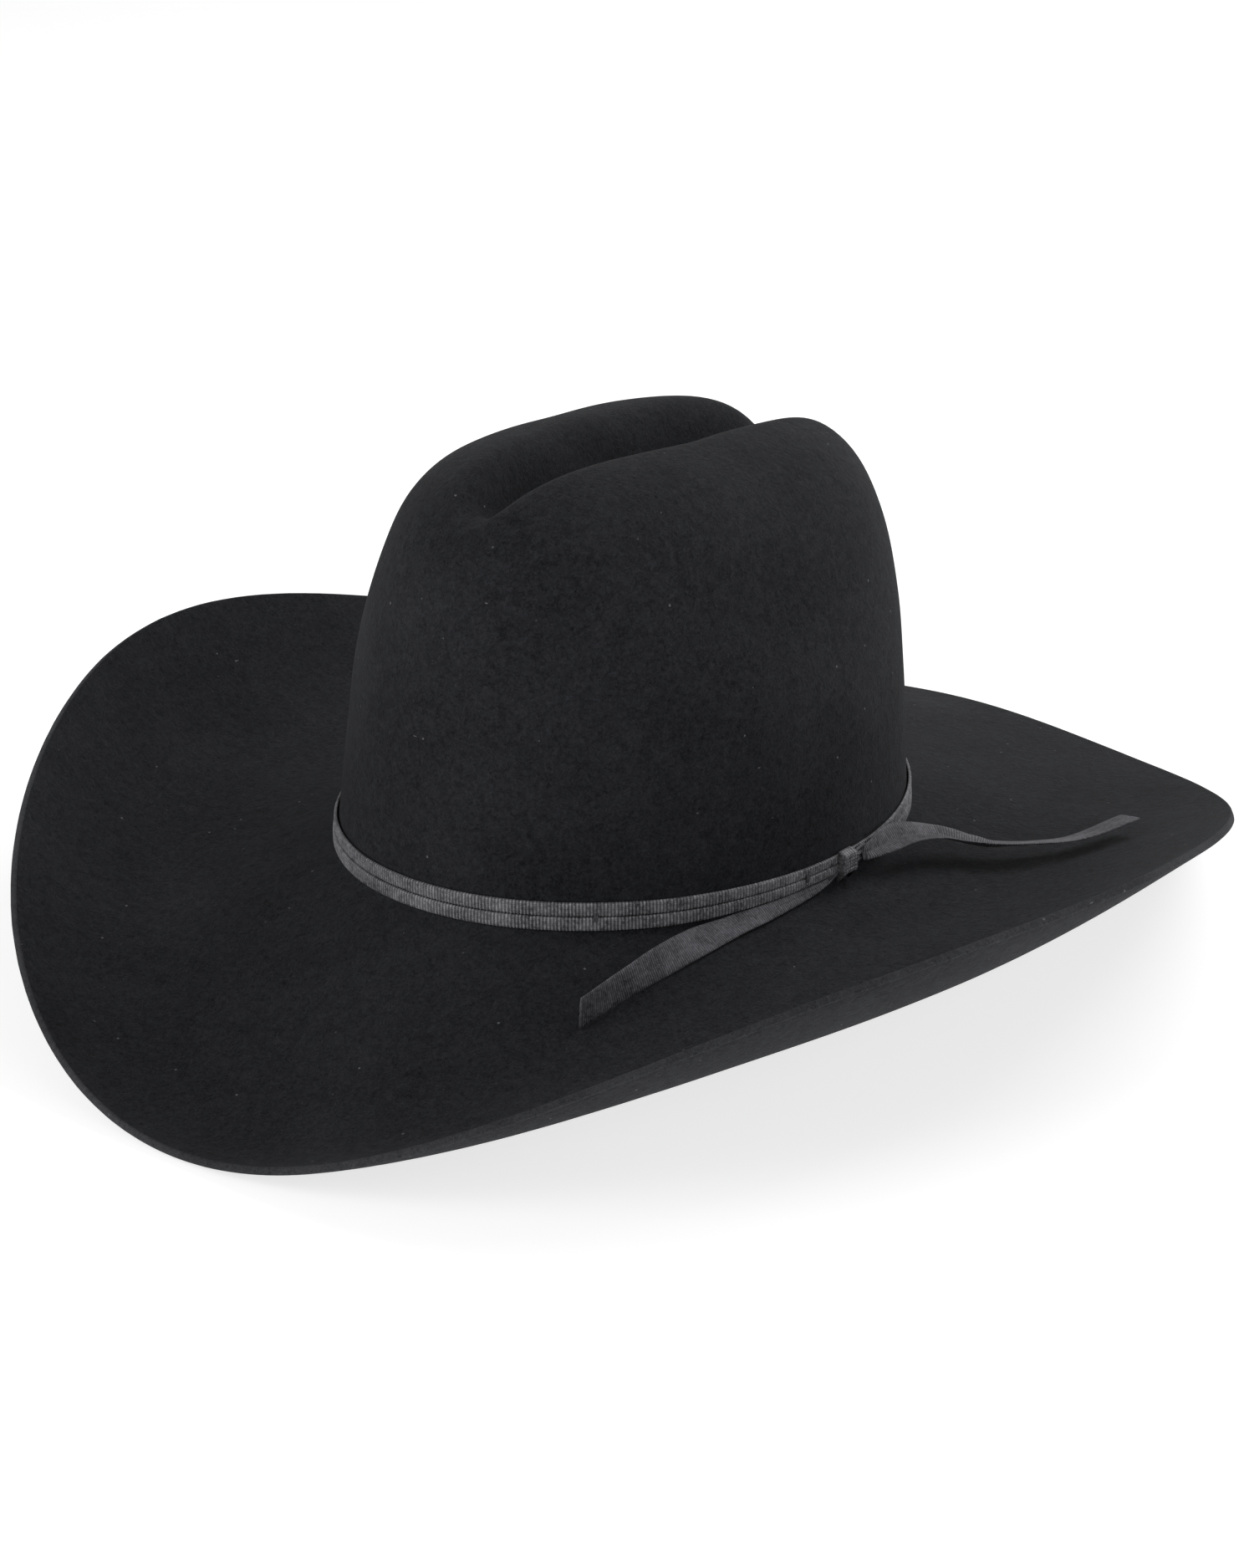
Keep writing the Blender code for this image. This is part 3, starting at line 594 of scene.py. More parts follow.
# the tails' lighter colour is a painted highlight on their rib crests and threads
tailLook = {
    "Colour": rgb(0.024, 0.0235, 0.028),
    "Painted Highlight": rgb(0.245, 0.238, 0.264),
    "Rib": 0.0008,
    "Thread": 0.0005,
}
tailMaterial = makeMaterial("fine ribbon", weaveGroup, tailLook, (0.4, 0.00015), ribbonLint, ribbonSheen)
threadLook = {"Colour": rgb(0.03, 0.03, 0.033), "Tips": rgb(0.16, 0.16, 0.17), "Fibre Size": 0.0002}
threadMaterial = makeMaterial("sewing thread", napGroup, threadLook, (0.5, 0.0002), None, ribbonSheen)
leatherLook = {"Colour": rgb(0.020, 0.017, 0.016), "Worn": rgb(0.06, 0.052, 0.047), "Grain": 0.0011}
leatherMaterial = makeMaterial(
    "sweatband leather", grainGroup, leatherLook, (0.35, 0.0002), {"Amount": 0.06, "Spacing": 0.008}
)
# the satin's lighter colour is a painted highlight on its ribs and threads
satinLook = {
    "Colour": rgb(0.018, 0.018, 0.022),
    "Painted Highlight": rgb(0.06, 0.06, 0.07),
    "Rib": 0.0004,
    "Thread": 0.0003,
}
satinShine = {"Sheen Weight": 0.2, "Specular IOR Level": 0.7}
satinMaterial = makeMaterial("lining satin", weaveGroup, satinLook, (0.15, 0.0001), ribbonLint, satinShine)
caneLook = {"Colour": rgb(0.30, 0.22, 0.12), "Tips": rgb(0.48, 0.38, 0.24), "Fibre Size": 0.0009}
caneMaterial = makeMaterial("split cane", napGroup, caneLook, (0.3, 0.0002))
print("materials made")


def roundHat(count, crowding=0.15):
    even = np.arange(count) * 2 * math.pi / count
    return even - crowding * np.sin(2 * even)


feltMesh = {
    "columns": 300,
    "brimRows": 40,
    "crownRows": 84,
    "filletRows": 7,
    "evenRows": 20,  # rows over the brim before the crown's unevenness starts
}
cutEdge = {
    # out from the edge, and share of the felt's thickness down
    "profile": (
        (0.00022, 0.02),
        (0.00042, 0.09),
        (0.0005, 0.22),
        (0.0005, 0.5),
        (0.0005, 0.78),
        (0.00042, 0.91),
        (0.00022, 0.98),
    ),
    "fray": ((0.00008, 0.004, 7), (0.00005, 0.0015, 8)),  # depth, length, seed
}


def feltTop(angles):
    filletReach = hat["fillet"] / brim["width"]
    reaches = 1 - (1 - filletReach) * np.linspace(0, 1, feltMesh["brimRows"]) ** 1.1
    rows = [brimLine(angles, reach) for reach in reaches]
    foot, corner, start = brimLine(angles, filletReach), breakLine(angles), wallLine(angles, hat["fillet"])
    for step in np.linspace(0, 1, feltMesh["filletRows"], endpoint=False)[1:]:
        rows.append((1 - step) ** 2 * foot + 2 * step * (1 - step) * corner + step**2 * start)
    first = math.atan(hat["fillet"] / crown["height"]) / (math.pi / 2)
    rows += [crownLine(angles, climb) for climb in np.linspace(first, 0.994, feltMesh["crownRows"])]
    return np.stack(rows)


def surfaceNormals(rows):
    around = np.roll(rows, -1, axis=1) - np.roll(rows, 1, axis=1)
    return unit(np.cross(around, np.gradient(rows, axis=0)))


def closedShell(name, top, rim, under, material, woven=False):
    # rows of points from the middle of the top out to the rim, and back to the middle underneath
    rows = [*top[::-1], *rim, *under]
    columns = len(rows[0])
    points = np.stack(rows).reshape(-1, 3)
    count = len(points)
    faces = [face[::-1] for face in gridFaces(len(rows), columns)]
    faces += poleFaces(list(range(columns)), count, False)
    faces += poleFaces(list(range(count - columns, count)), count + 1, True)
    points = np.concatenate([points, [top[-1].mean(axis=0), under[-1].mean(axis=0)]])
    return buildMesh(name, points, faces, material, points if woven else None)


def buildFelt():
    columns = feltMesh["columns"]
    top = feltTop(roundHat(columns))
    normals = surfaceNormals(top)
    brimRows = feltMesh["brimRows"]
    share = np.linspace(1, 0, brimRows)[:, None] ** 1.5
    top[:brimRows, :, 2] += brim["waviness"] * share * ripple(top[:brimRows], 0.07, 3)
    body = slice(brimRows + feltMesh["evenRows"], None)
    top[body] += crown["waviness"] * (ripple(top[body], 0.035, 5)[..., None] * normals[body])
    under = top - hat["felt"] * normals
    floor = (under[..., 1] * math.sin(tip) - standing[2] + hat["pad"]) / math.cos(tip)
    under[..., 2] = np.maximum(under[..., 2], floor)

    # the raw cut: nearly square, its corners a little worn, its line a little uneven
    beyond = unit(top[0] - top[1])
    fray = sum(depth * ripple(top[0], length, seed) for depth, length, seed in cutEdge["fray"])[:, None]
    cut = [top[0] + (out + fray) * beyond + down * (under[0] - top[0]) for out, down in cutEdge["profile"]]
    felt = closedShell("felt_hat_body", top, cut, under, feltMaterial)
    # the cut's faces take the lighter felt, a painted highlight along the edge
    felt.data.materials.append(cutEdgeHighlightMaterial)
    firstCut = len(top) - 1
    for face in felt.data.polygons:
        row = min(face.vertices) // columns
        if firstCut <= row < firstCut + len(cut) + 1 and len(face.vertices) == 4:
            face.material_index = 1
    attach(felt, "hat")
    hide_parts("felt_body")


buildFelt()
print("felt shaped")

ribs = {"pitch": 0.00105, "depth": 0.00014, "edge": 0.01, "samples": 4, "drift": 0.00016}


def bandAngles():
    # evenly spaced round the break by length, starting behind the bow
    fine = np.linspace(0, 2 * math.pi, 4001) + math.radians(tails["keeperAngle"])
    line = breakLine(fine)
    run = np.concatenate([[0], np.cumsum(np.linalg.norm(np.diff(line, axis=0), axis=1))])
    count = round(run[-1] / ribs["pitch"]) * ribs["samples"]
    even = np.linspace(0, run[-1], count, endpoint=False)
    return np.interp(even, run, fine), even


def rowSection(width, thickness, count=13):
    across = np.sin(np.linspace(-1, 1, count) * math.pi / 2)
    dome = np.sqrt(np.maximum(1 - np.abs(across) ** 7, 0))
    face = np.stack([across * width / 2, thickness * (dome - 0.5)], -1)
    back = np.array([(0.8, -0.5), (0.0, -0.5), (-0.8, -0.5)]) * (width / 2, thickness)
    return np.concatenate([face, back])


def buildBandRows():
    angles, run = bandAngles()
    rib = np.cos(2 * math.pi * np.arange(len(run)) / ribs["samples"])
    plain = rowSection(band["row"], band["thickness"])
    flare = np.where(plain[:, 1] > -band["thickness"] * 0.45, 1.0, 0.0)
    drift = ripple(breakLine(angles), 0.05, 11) * ribs["drift"]
    reach = (band["gap"] - band["seam"]) / 2
    for name, foot in (("lower", band["foot"]), ("upper", band["foot"] + band["row"] + band["gap"])):
        shift = reach / 2 if name == "lower" else -reach / 2
        middle = wallLine(angles, bandLevel(angles, foot + band["row"] / 2 + shift), bandFace())
        middle[:, 2] += drift
        sections = np.repeat(plain[None], len(angles), axis=0)
        sections[..., 1] += ribs["depth"] * rib[:, None] * flare
        sections[..., 0] *= (bandShare(angles) * (1 + reach / band["row"]) + ribs["edge"] * rib)[:, None]
        row = sweep(
            f"ribbed_{name}_row", middle, sameWay(upward, len(angles)), outward(angles), sections,
            ribbonMaterial, closed=True, along=run,
        )
        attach(row, "hat")
        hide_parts(f"hatband_{name}_row")


tacks = {
    "length": 0.003,
    "radius": 0.00024,
    "lift": 0.00035,
    "strands": ((-0.00045, 0.0002), (0.0, -0.0001), (0.00045, 0.00015)),  # place along the band, lean
    "degrees": {"front_left": 38.0, "left": 80.0, "right": -80.0, "back": 180.0},
}


def joinMeshes(name, made, material):
    points, faces, start = [], [], 0
    for one in made:
        mesh = one.data
        points += [vertex.co.copy() for vertex in mesh.vertices]
        faces += [[start + index for index in face.vertices] for face in mesh.polygons]
        start = len(points)
        bpy.data.objects.remove(one)
    return buildMesh(name, points, faces, material, world=False)


def stitchLoop(name, start, end, lift, radius, rings=9):
    # a thread that comes up at one point and goes down at another
    share = np.linspace(0, 1, rings)
    centres = start + (end - start) * share[:, None] + lift * np.sin(math.pi * share)[:, None]
    heading = unit(np.gradient(centres, axis=0))
    side = unit(np.cross(heading, lift))
    plump = np.clip(np.minimum(share, 1 - share) * 6, 0.35, 1)[:, None, None]
    sections = roundSection(radius, 7)[None] * plump
    return sweep(name, centres, side, np.cross(side, heading), sections, threadMaterial)


def buildTacks():
    face = bandFace() + band["thickness"] / 2
    for place, degrees in tacks["degrees"].items():
        seam = bandLevel(np.radians([degrees]), band["foot"] + band["row"] + band["gap"] / 2)[0]
        strands = []
        for shift, lean in tacks["strands"]:
            foot = wallPoint(degrees + degreesAlong(shift - lean), seam - tacks["length"] / 2, face)
            head = wallPoint(degrees + degreesAlong(shift + lean), seam + tacks["length"] / 2, face)
            lift = tacks["lift"] * outward(np.radians([degrees]))[0]
            strands.append(stitchLoop("strand", foot, head, lift, tacks["radius"]))
        tack = joinMeshes(f"band_tack_{place}", strands, threadMaterial)
        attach(tack, "hat")
        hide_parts(f"tack_stitch_{place}")


buildBandRows()
buildTacks()
print("hatband sewn on")

keeper = {
    "thickness": 0.0007,
    "flare": 0.0004,
    "ribPitch": 0.00105,
    "ribDepth": 0.0001,
    "overhang": 0.0006,  # over the band's top and under its foot
    "corner": 0.0016,
    "hem": 0.0005,
    "play": 0.0002,
}
pinch = {
    "pleats": 2.5,
    "pleatDepth": 0.0005,
    "rise": 0.0022,
    # shares of its length, and of the ribbon's width
    "widths": ((0, 0.6), (0.15, 0.48), (0.45, 0.46), (1, 0.56)),
}


def keeperSection(lift):
    # round the ribbon and the band: over the top, down the face, under the foot
    inside = bandFace(1) + tails["thickness"] / 2 + band["gap"] + lift
    outside = inside + keeper["thickness"]
    top = band["foot"] + bandHeight() + keeper["overhang"] + keeper["thickness"]
    foot = bandLevel(np.radians([tails["keeperAngle"]]), band["foot"])[0]
    foot -= keeper["overhang"] + keeper["thickness"] / 2
    face = np.linspace(0, 1, 33)
    corner = keeper["corner"]
    height = foot + (top - foot) * face
    # the face, with its corners rounded off towards the felt
    depth = outside - corner * (
        (1 - smoothStep((height - foot) / corner)) ** 1.5 + (1 - smoothStep((top - height) / corner)) ** 1.5
    )
    depth = depth + keeper["ribDepth"] * np.cos(2 * math.pi * height / keeper["ribPitch"])
    skin = np.stack([height, depth], -1)
    back = [
        (top, band["standOff"] + keeper["play"]),
        (top - keeper["thickness"], band["standOff"] + keeper["play"]),
        (top - keeper["thickness"], inside - keeper["hem"]),
        (top - 1.6 * keeper["thickness"], inside),
        (foot + 1.1 * keeper["thickness"], inside),
        (foot + 0.55 * keeper["thickness"], inside - keeper["hem"]),
        (foot + 0.55 * keeper["thickness"], bandFace() + band["thickness"] / 2 + keeper["play"]),
        (foot, bandFace() + band["thickness"] / 2 + keeper["play"]),
    ]
    return np.concatenate([skin, back])


def buildKeeper():
    half = degreesAlong(tails["keeperWidth"] / 2)
    share = np.linspace(-1, 1, 15)
    angles = np.radians(tails["keeperAngle"] + half * share)
    edges = np.abs(share) ** 3
    sections = np.stack([keeperSection(keeper["flare"] * edge) for edge in edges])
    upright = sameWay(upward, len(angles))
    wrap = sweep("bow_wrap", wallLine(angles, 0.0), upright, outward(angles), sections, ribbonMaterial)
    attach(wrap, "hat")
    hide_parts("bow_keeper")


def buildPinch():
    start = tails["keeperAngle"] + degreesAlong(tails["keeperWidth"] / 2)
    share = np.linspace(0, 1, 26)
    angles = np.radians(start + degreesAlong(tails["pinchWidth"]) * share)
    height = band["foot"] + bandHeight() / 2 + pinch["rise"] * smoothStep(share + 0.5)
    centres = wallLine(angles, height, bandFace(1))
    width = np.interp(share, *zip(*pinch["widths"]))
    across = np.linspace(-1, 1, 31)
    sections = []
    for at, wide in zip(share, width):
        fold = pinch["pleatDepth"] * (1 - 0.5 * at) * np.cos(across * math.pi * pinch["pleats"])
        half = tails["thickness"] / 2 * np.maximum((1 - np.abs(across) ** 8) ** 0.5, 0.3) * 0.8
        face = np.stack([across * wide * tails["width"] / 2, fold + half], -1)
        back = np.stack([across * wide * tails["width"] / 2, fold - half], -1)
        sections.append(np.concatenate([face[::-1], back]))
    folded = sweep(
        "bow_pleats", centres, sameWay(upward, len(angles)), outward(angles), np.stack(sections), tailMaterial
    )
    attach(folded, "hat")
    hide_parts("bow_pinch")


def brimHeight(x, y):
    angle, reach, step = math.atan2(x, -y), 0.3, 1e-5
    for _ in range(12):
        here = brimLine(np.array([angle, angle + step]), reach)
        alongAngle = (here[1] - here[0])[:2] / step
        alongReach = (brimLine(np.array([angle]), reach + step)[0] - here[0])[:2] / step
        miss = np.array([x, y]) - here[0][:2]
        angle, reach = (angle, reach) + np.linalg.solve(np.stack([alongAngle, alongReach], -1), miss)
    return brimLine(np.array([angle]), reach)[0][2]


def overBrim(points):
    side = hat["ovalWidth"] / 2
    return [(side + out, y, brimHeight(side + out, y) + height) for out, y, height in points]


tailRibs = {
    "pitch": 0.0008,
    "depth": 0.00006,
    "spacing": 0.0002,
    "sway": 0.0002,
    "groove": 0.55,  # share of its thickness lost along the middle
    "cut": 0.02,  # length over which the slanted end draws its ribs along
}


def buildTail(name, centres, across, widths, slant, replaced, fold=0.0):
    heading = unit(np.gradient(centres, axis=0))
    across = unit(across - (across * heading).sum(axis=1, keepdims=True) * heading)
    run = np.concatenate([[0], np.cumsum(np.linalg.norm(np.diff(centres, axis=0), axis=1))])
    section = clothSection(tails["width"], tails["thickness"], tailRibs["groove"], 15)
    sections = np.repeat(section[None], len(centres), axis=0)
    sections[..., 0] *= np.multiply(widths, np.ones(len(centres)))[:, None] / tails["width"]
    rib = np.cos(2 * math.pi * run / tailRibs["pitch"])[:, None]
    sections[..., 1] += np.sign(section[:, 1]) * tailRibs["depth"] * rib
    sections[..., 1] += ripple(centres, 0.03, len(name))[:, None] * tailRibs["sway"]
    folded = np.multiply(fold, np.ones(len(centres)))
    sections[..., 1] += np.outer(folded, 1 - np.abs(section[:, 0]) * 2 / tails["width"])
    tail = sweep(name, centres, across, np.cross(heading, across), sections, tailMaterial, along=run)

    # cut on the slant at the far end
    lag = slant * (section[:, 0] / tails["width"] + 0.5)
    world = heading @ stance.T
    start = run[-1] - tailRibs["cut"]
    for row in np.flatnonzero(run > start):
        fade = smoothStep((run[row] - start) / tailRibs["cut"])
        for corner, late in enumerate(lag):
            vertex = tail.data.vertices[int(row) * len(section) + corner]
            vertex.co = [value - late * fade * step for value, step in zip(vertex.co, world[row])]
    middle = tail.data.vertices[len(tail.data.vertices) - 1]
    middle.co = [value - slant / 2 * step for value, step in zip(middle.co, world[-1])]
    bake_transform(tail)
    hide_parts(replaced)


def evened(values, reach=22):  # each value the mean of its neighbours
    padded = np.pad(values, reach, mode="edge")
    return np.convolve(padded, np.ones(2 * reach + 1) / (2 * reach + 1), mode="valid")


def buildFrontTail():
    # it comes out from under the band, leans on the wall, then turns to stand on its edge
    lower = smoothRoute(overBrim(tails["front"]), tailRibs["spacing"])[0]
    heading = unit(np.gradient(lower, axis=0))
    angles = np.arctan2(lower[:, 0] / hat["ovalWidth"], -lower[:, 1] / hat["ovalLength"])
    height = bandLevel(angles, band["foot"]) - tails["frontTuck"]
    hollow = hat["fillet"] * np.clip(1 - np.sqrt(height / hat["fillet"]), 0, 1) ** 2
    tucked = wallLine(angles, height, hollow + 0.7 * tails["thickness"]) - lower
    tucked = tucked - (tucked * heading).sum(axis=1, keepdims=True) * heading
    level = unit(np.cross(upward, heading))
    level = np.where(level[:, :1] > 0, -level, level)
    places, rises = zip(*tails["frontRise"])
    leaning = np.arctan2(tucked[:, 2], (tucked * level).sum(axis=1))
    turned = np.radians(np.interp(lower[:, 1], places, rises))
    free = smoothStep(np.linalg.norm(tucked, axis=1) / (0.4 * tails["frontWidth"]) - 2)
    rise = evened(leaning + np.maximum(turned - leaning, 0) * free)[:, None]
    widths = evened(np.minimum(np.linalg.norm(tucked, axis=1), tails["frontWidth"]))
    across = np.cos(rise) * level + np.sin(rise) * upward
    centres = lower + across * widths[:, None] / 2
    buildTail("ribbon_end_front", centres, across, widths, tails["frontSlant"], "front_tail")


def buildRearTail():
    rest = band["foot"] + bandHeight() / 2 + tails["rearRoot"]

    def beside(along, lift):
        return wallPoint(tails["keeperAngle"] + degreesAlong(along), rest, bandFace(1) + lift)

    start = tails["keeperWidth"] / 2 + tails["pinchWidth"] + 4 * band["gap"]
    root = beside(start, tails["thickness"] + tails["clearance"])
    tuckedStart, bendStart = (start - tuck for tuck in tails["rearTuck"])
    route = [beside(tuckedStart, band["gap"]), root, *overBrim(tails["rear"])]
    centres, share = smoothRoute(route, tailRibs["spacing"])
    level = unit(np.cross(np.gradient(centres, axis=0), upward))
    places, turns = zip(*tails["rearTwist"])
    rise = np.radians(np.interp(share, places, turns))[:, None]
    across = np.cos(rise) * level + np.sin(rise) * upward
    gathered = tails["rearGathered"]
    widths = tails["width"] * (gathered + (1 - gathered) * smoothStep(share / tails["rearSpread"]))
    full, until, flat = tails["rearFoldShares"]
    fold = tails["rearFold"] * smoothStep(share / full) * smoothStep((flat - share) / (flat - until))
    buildTail("ribbon_end_rear", centres, across, widths, tails["rearSlant"], "rear_tail", fold)


buildKeeper()
buildPinch()
buildFrontTail()
buildRearTail()
print("bow tied")

inside = {
    "bandHeight": 0.052,
    "bandThickness": 0.0009,
    "bandSeam": 0.0012,
    "reed": 0.0009,
    "reedHeight": 0.0006,
    "binding": 0.0005,
    "tabWidth": 0.014,
    "lining": 0.0004,
    "liningFoot": 0.020,
    "liningTop": 0.080,
    "liningInset": 0.0120,
    "piping": 0.0013,
    "sag": 0.004,
    "gap": 0.0003,
    "press": {"depth": 0.00022, "drop": 0.006, "width": 0.0011},  # the line near the sweatband's top
}
sweatStitches = {
    "run": 0.57,  # along the sweatband's foot
    "pitch": 0.0031,
    "share": 0.75,  # of the pitch that shows
    "rise": 0.0028,
    "lift": 0.00028,
    "radius": 0.00017,
    "turn": 356,  # degrees round the hat that they take up
}
bindingRadius = inside["reed"] + inside["gap"] + inside["binding"]
sweatFoot = inside["reedHeight"] + bindingRadius + inside["gap"]
sweatTop = sweatFoot + inside["bandHeight"]
sweatStandOff = -(hat["felt"] + 2 * inside["gap"] + inside["lining"] + inside["bandThickness"] / 2)


def liningStandOff(height):
    behind = -(hat["felt"] + inside["gap"] + inside["lining"] / 2)
    start = sweatTop + inside["gap"]
    share = np.clip((height - start) / (inside["liningTop"] - start), 0, 1) ** 0.8
    return behind + (-inside["liningInset"] - behind) * share


def curtain(name, angles, heights, standOffs, thickness, material, closed, folds=None):
    # a sheet that stands round the inside of the crown
    inner, outer = [], []
    for height, standOff in zip(heights, standOffs):
        shift = folds(angles, height) if folds else 0.0
        inner.append(wallLine(angles, height, standOff - thickness / 2 + shift))
        outer.append(wallLine(angles, height, standOff + thickness / 2 + shift))
    loops = np.stack(inner + outer[::-1], axis=1)
    count, size = loops.shape[:2]
    faces = gridFaces(count, size, closedRows=closed)
    if not closed:
        for start, flip in ((0, False), ((count - 1) * size, True)):
            half = size // 2
            for i in range(half - 1):
                quad = (start + i, start + i + 1, start + size - 2 - i, start + size - 1 - i)
                faces.append(quad[::-1] if flip else quad)
    first = loops[0]
    turn = np.cross(first[1] - first[0], first[-1] - first[0]) @ (loops[1].mean(axis=0) - first.mean(axis=0))
    if turn < 0:
        faces = [face[::-1] for face in faces]
    line = breakLine(angles)
    run = np.concatenate([[0], np.cumsum(np.linalg.norm(np.diff(line, axis=0), axis=1))])
    place = np.zeros(loops.shape)
    place[..., 0] = run[:, None]
    place[..., 1] = np.array([*heights, *heights[::-1]])[None]
    return buildMesh(name, loops.reshape(-1, 3), faces, material, place.reshape(-1, 3))


def buildSweatband():
    seam = inside["bandSeam"] / hat["ovalWidth"]
    angles = np.linspace(-math.pi + seam, math.pi - seam, 420)
    heights = np.linspace(sweatFoot, sweatTop, 22)
    press = inside["press"]

    def worn(angles, height):  # a pressed line near the top, and a little give in the leather
        line = press["depth"] * np.exp(-(((height - sweatTop + press["drop"]) / press["width"]) ** 2))
        return line + 0.0001 * ripple(wallLine(angles, height), 0.03, 21)

    standOffs = np.full(len(heights), sweatStandOff)
    leather = curtain(
        "leather_sweatband", angles, heights, standOffs, inside["bandThickness"], leatherMaterial, False, worn
    )
    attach(leather, "hat")
    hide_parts("sweatband")

    loops = []
    inner = sweatStandOff - inside["bandThickness"] / 2
    count = round(sweatStitches["run"] / sweatStitches["pitch"])
    turn, height = sweatStitches["turn"], sweatFoot + sweatStitches["rise"]
    for index in range(count):
        degrees = -turn / 2 + turn * index / count
        start = wallPoint(degrees, height, inner)
        end = wallPoint(degrees + sweatStitches["share"] * turn / count, height, inner)
        lift = -sweatStitches["lift"] * outward(np.radians([degrees]))[0]
        loops.append(stitchLoop("loop", start, end, lift, sweatStitches["radius"], 6))
    seamStitches = joinMeshes("sweatband_stitches", loops, threadMaterial)
    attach(seamStitches, "hat")

    # the reed, and the binding folded over it
    centres = wallLine(angles, inside["reedHeight"], -(hat["felt"] + inside["gap"] + bindingRadius))
    upright = sameWay(upward, len(angles))
    reed = sweep("cane_reed", centres, upright, outward(angles), roundSection(inside["reed"]), caneMaterial)
    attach(reed, "hat")
    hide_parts("sweatband_reed")
    turns = np.radians(np.linspace(140, 400, 22))
    ring = np.stack([np.sin(turns), np.cos(turns)], -1)
    fold = inside["reed"] + inside["gap"]
    hook = np.concatenate([(fold + inside["binding"]) * ring, fold * ring[::-1]])
    binding = sweep("folded_binding", centres, upright, outward(angles), hook, leatherMaterial)
    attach(binding, "hat")
    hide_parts("reed_binding")

    half = inside["tabWidth"] / hat["ovalWidth"]
    angles = np.linspace(math.pi - half, math.pi + half, 40)
    tabHeights = np.linspace(sweatFoot + 0.0006, sweatTop - 0.0006, 14)
    tabStandOff = sweatStandOff - inside["bandThickness"] - inside["gap"]
    standOffs = np.full(len(tabHeights), tabStandOff)
    tab = curtain("back_seam_tab", angles, tabHeights, standOffs, inside["lining"], leatherMaterial, False)
    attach(tab, "hat")
    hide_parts("sweatband_seam_tab")
    return tabStandOff - inside["lining"] / 2 - inside["gap"]


def buildLining():
    angles = roundHat(360, 0.0)
    bend = sweatTop + inside["gap"]
    drawnIn = np.linspace(bend, inside["liningTop"], 24)
    heights = np.concatenate([np.linspace(inside["liningFoot"], bend, 12)[:-1], drawnIn])

    def creases(angles, height):  # the satin puckers where it is gathered in towards its seam
        share = smoothStep((height - bend) / (inside["liningTop"] - bend))
        return -0.0044 * share * (1 - share) * (0.5 + 0.5 * ripple(wallLine(angles, bend), 0.012, 31))

    side = curtain(
        "satin_side", angles, heights, [liningStandOff(height) for height in heights], inside["lining"],
        satinMaterial, True, creases,
    )
    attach(side, "hat")
    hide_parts("lining_side")

    seam = inside["liningTop"] + inside["gap"] + inside["piping"]
    centres = wallLine(angles, seam, -inside["liningInset"])
    twist = 1 + 0.05 * np.cos(angles * 190)
    cordSection = roundSection(inside["piping"])[None] * twist[:, None, None]
    piping = sweep(
        "satin_piping", centres, sameWay(upward, len(angles)), outward(angles), cordSection,
        satinMaterial, closed=True,
    )
    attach(piping, "hat")
    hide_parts("lining_piping")

    edge = wallLine(angles, seam, -inside["liningInset"] - inside["piping"] - inside["gap"])
    middle = edge.mean(axis=0)
    rows = []
    for share in np.linspace(1, 0.02, 34):
        line = middle + (edge - middle) * share
        line[:, 2] -= inside["sag"] * (1 - share**2)
        pucker = 0.0009 * smoothStep((share - 0.45) / 0.5) * smoothStep((1 - share) / 0.08)
        line[:, 2] += pucker * np.cos(angles * 23 + 2.5 * np.sin(angles * 3))
        line[:, 2] += 0.0006 * (1 - share) * ripple(line, 0.05, 33)
        rows.append(line)
    top = np.stack(rows) + inside["lining"] / 2 * upward
    under = top - inside["lining"] * upward
    flat = closedShell("satin_tip", top, [], under, satinMaterial, woven=True)
    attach(flat, "hat")
    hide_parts("lining_tip")


rearBow = {"span": 0.022, "ribbon": 0.005, "thickness": 0.0005, "loop": 0.0045}


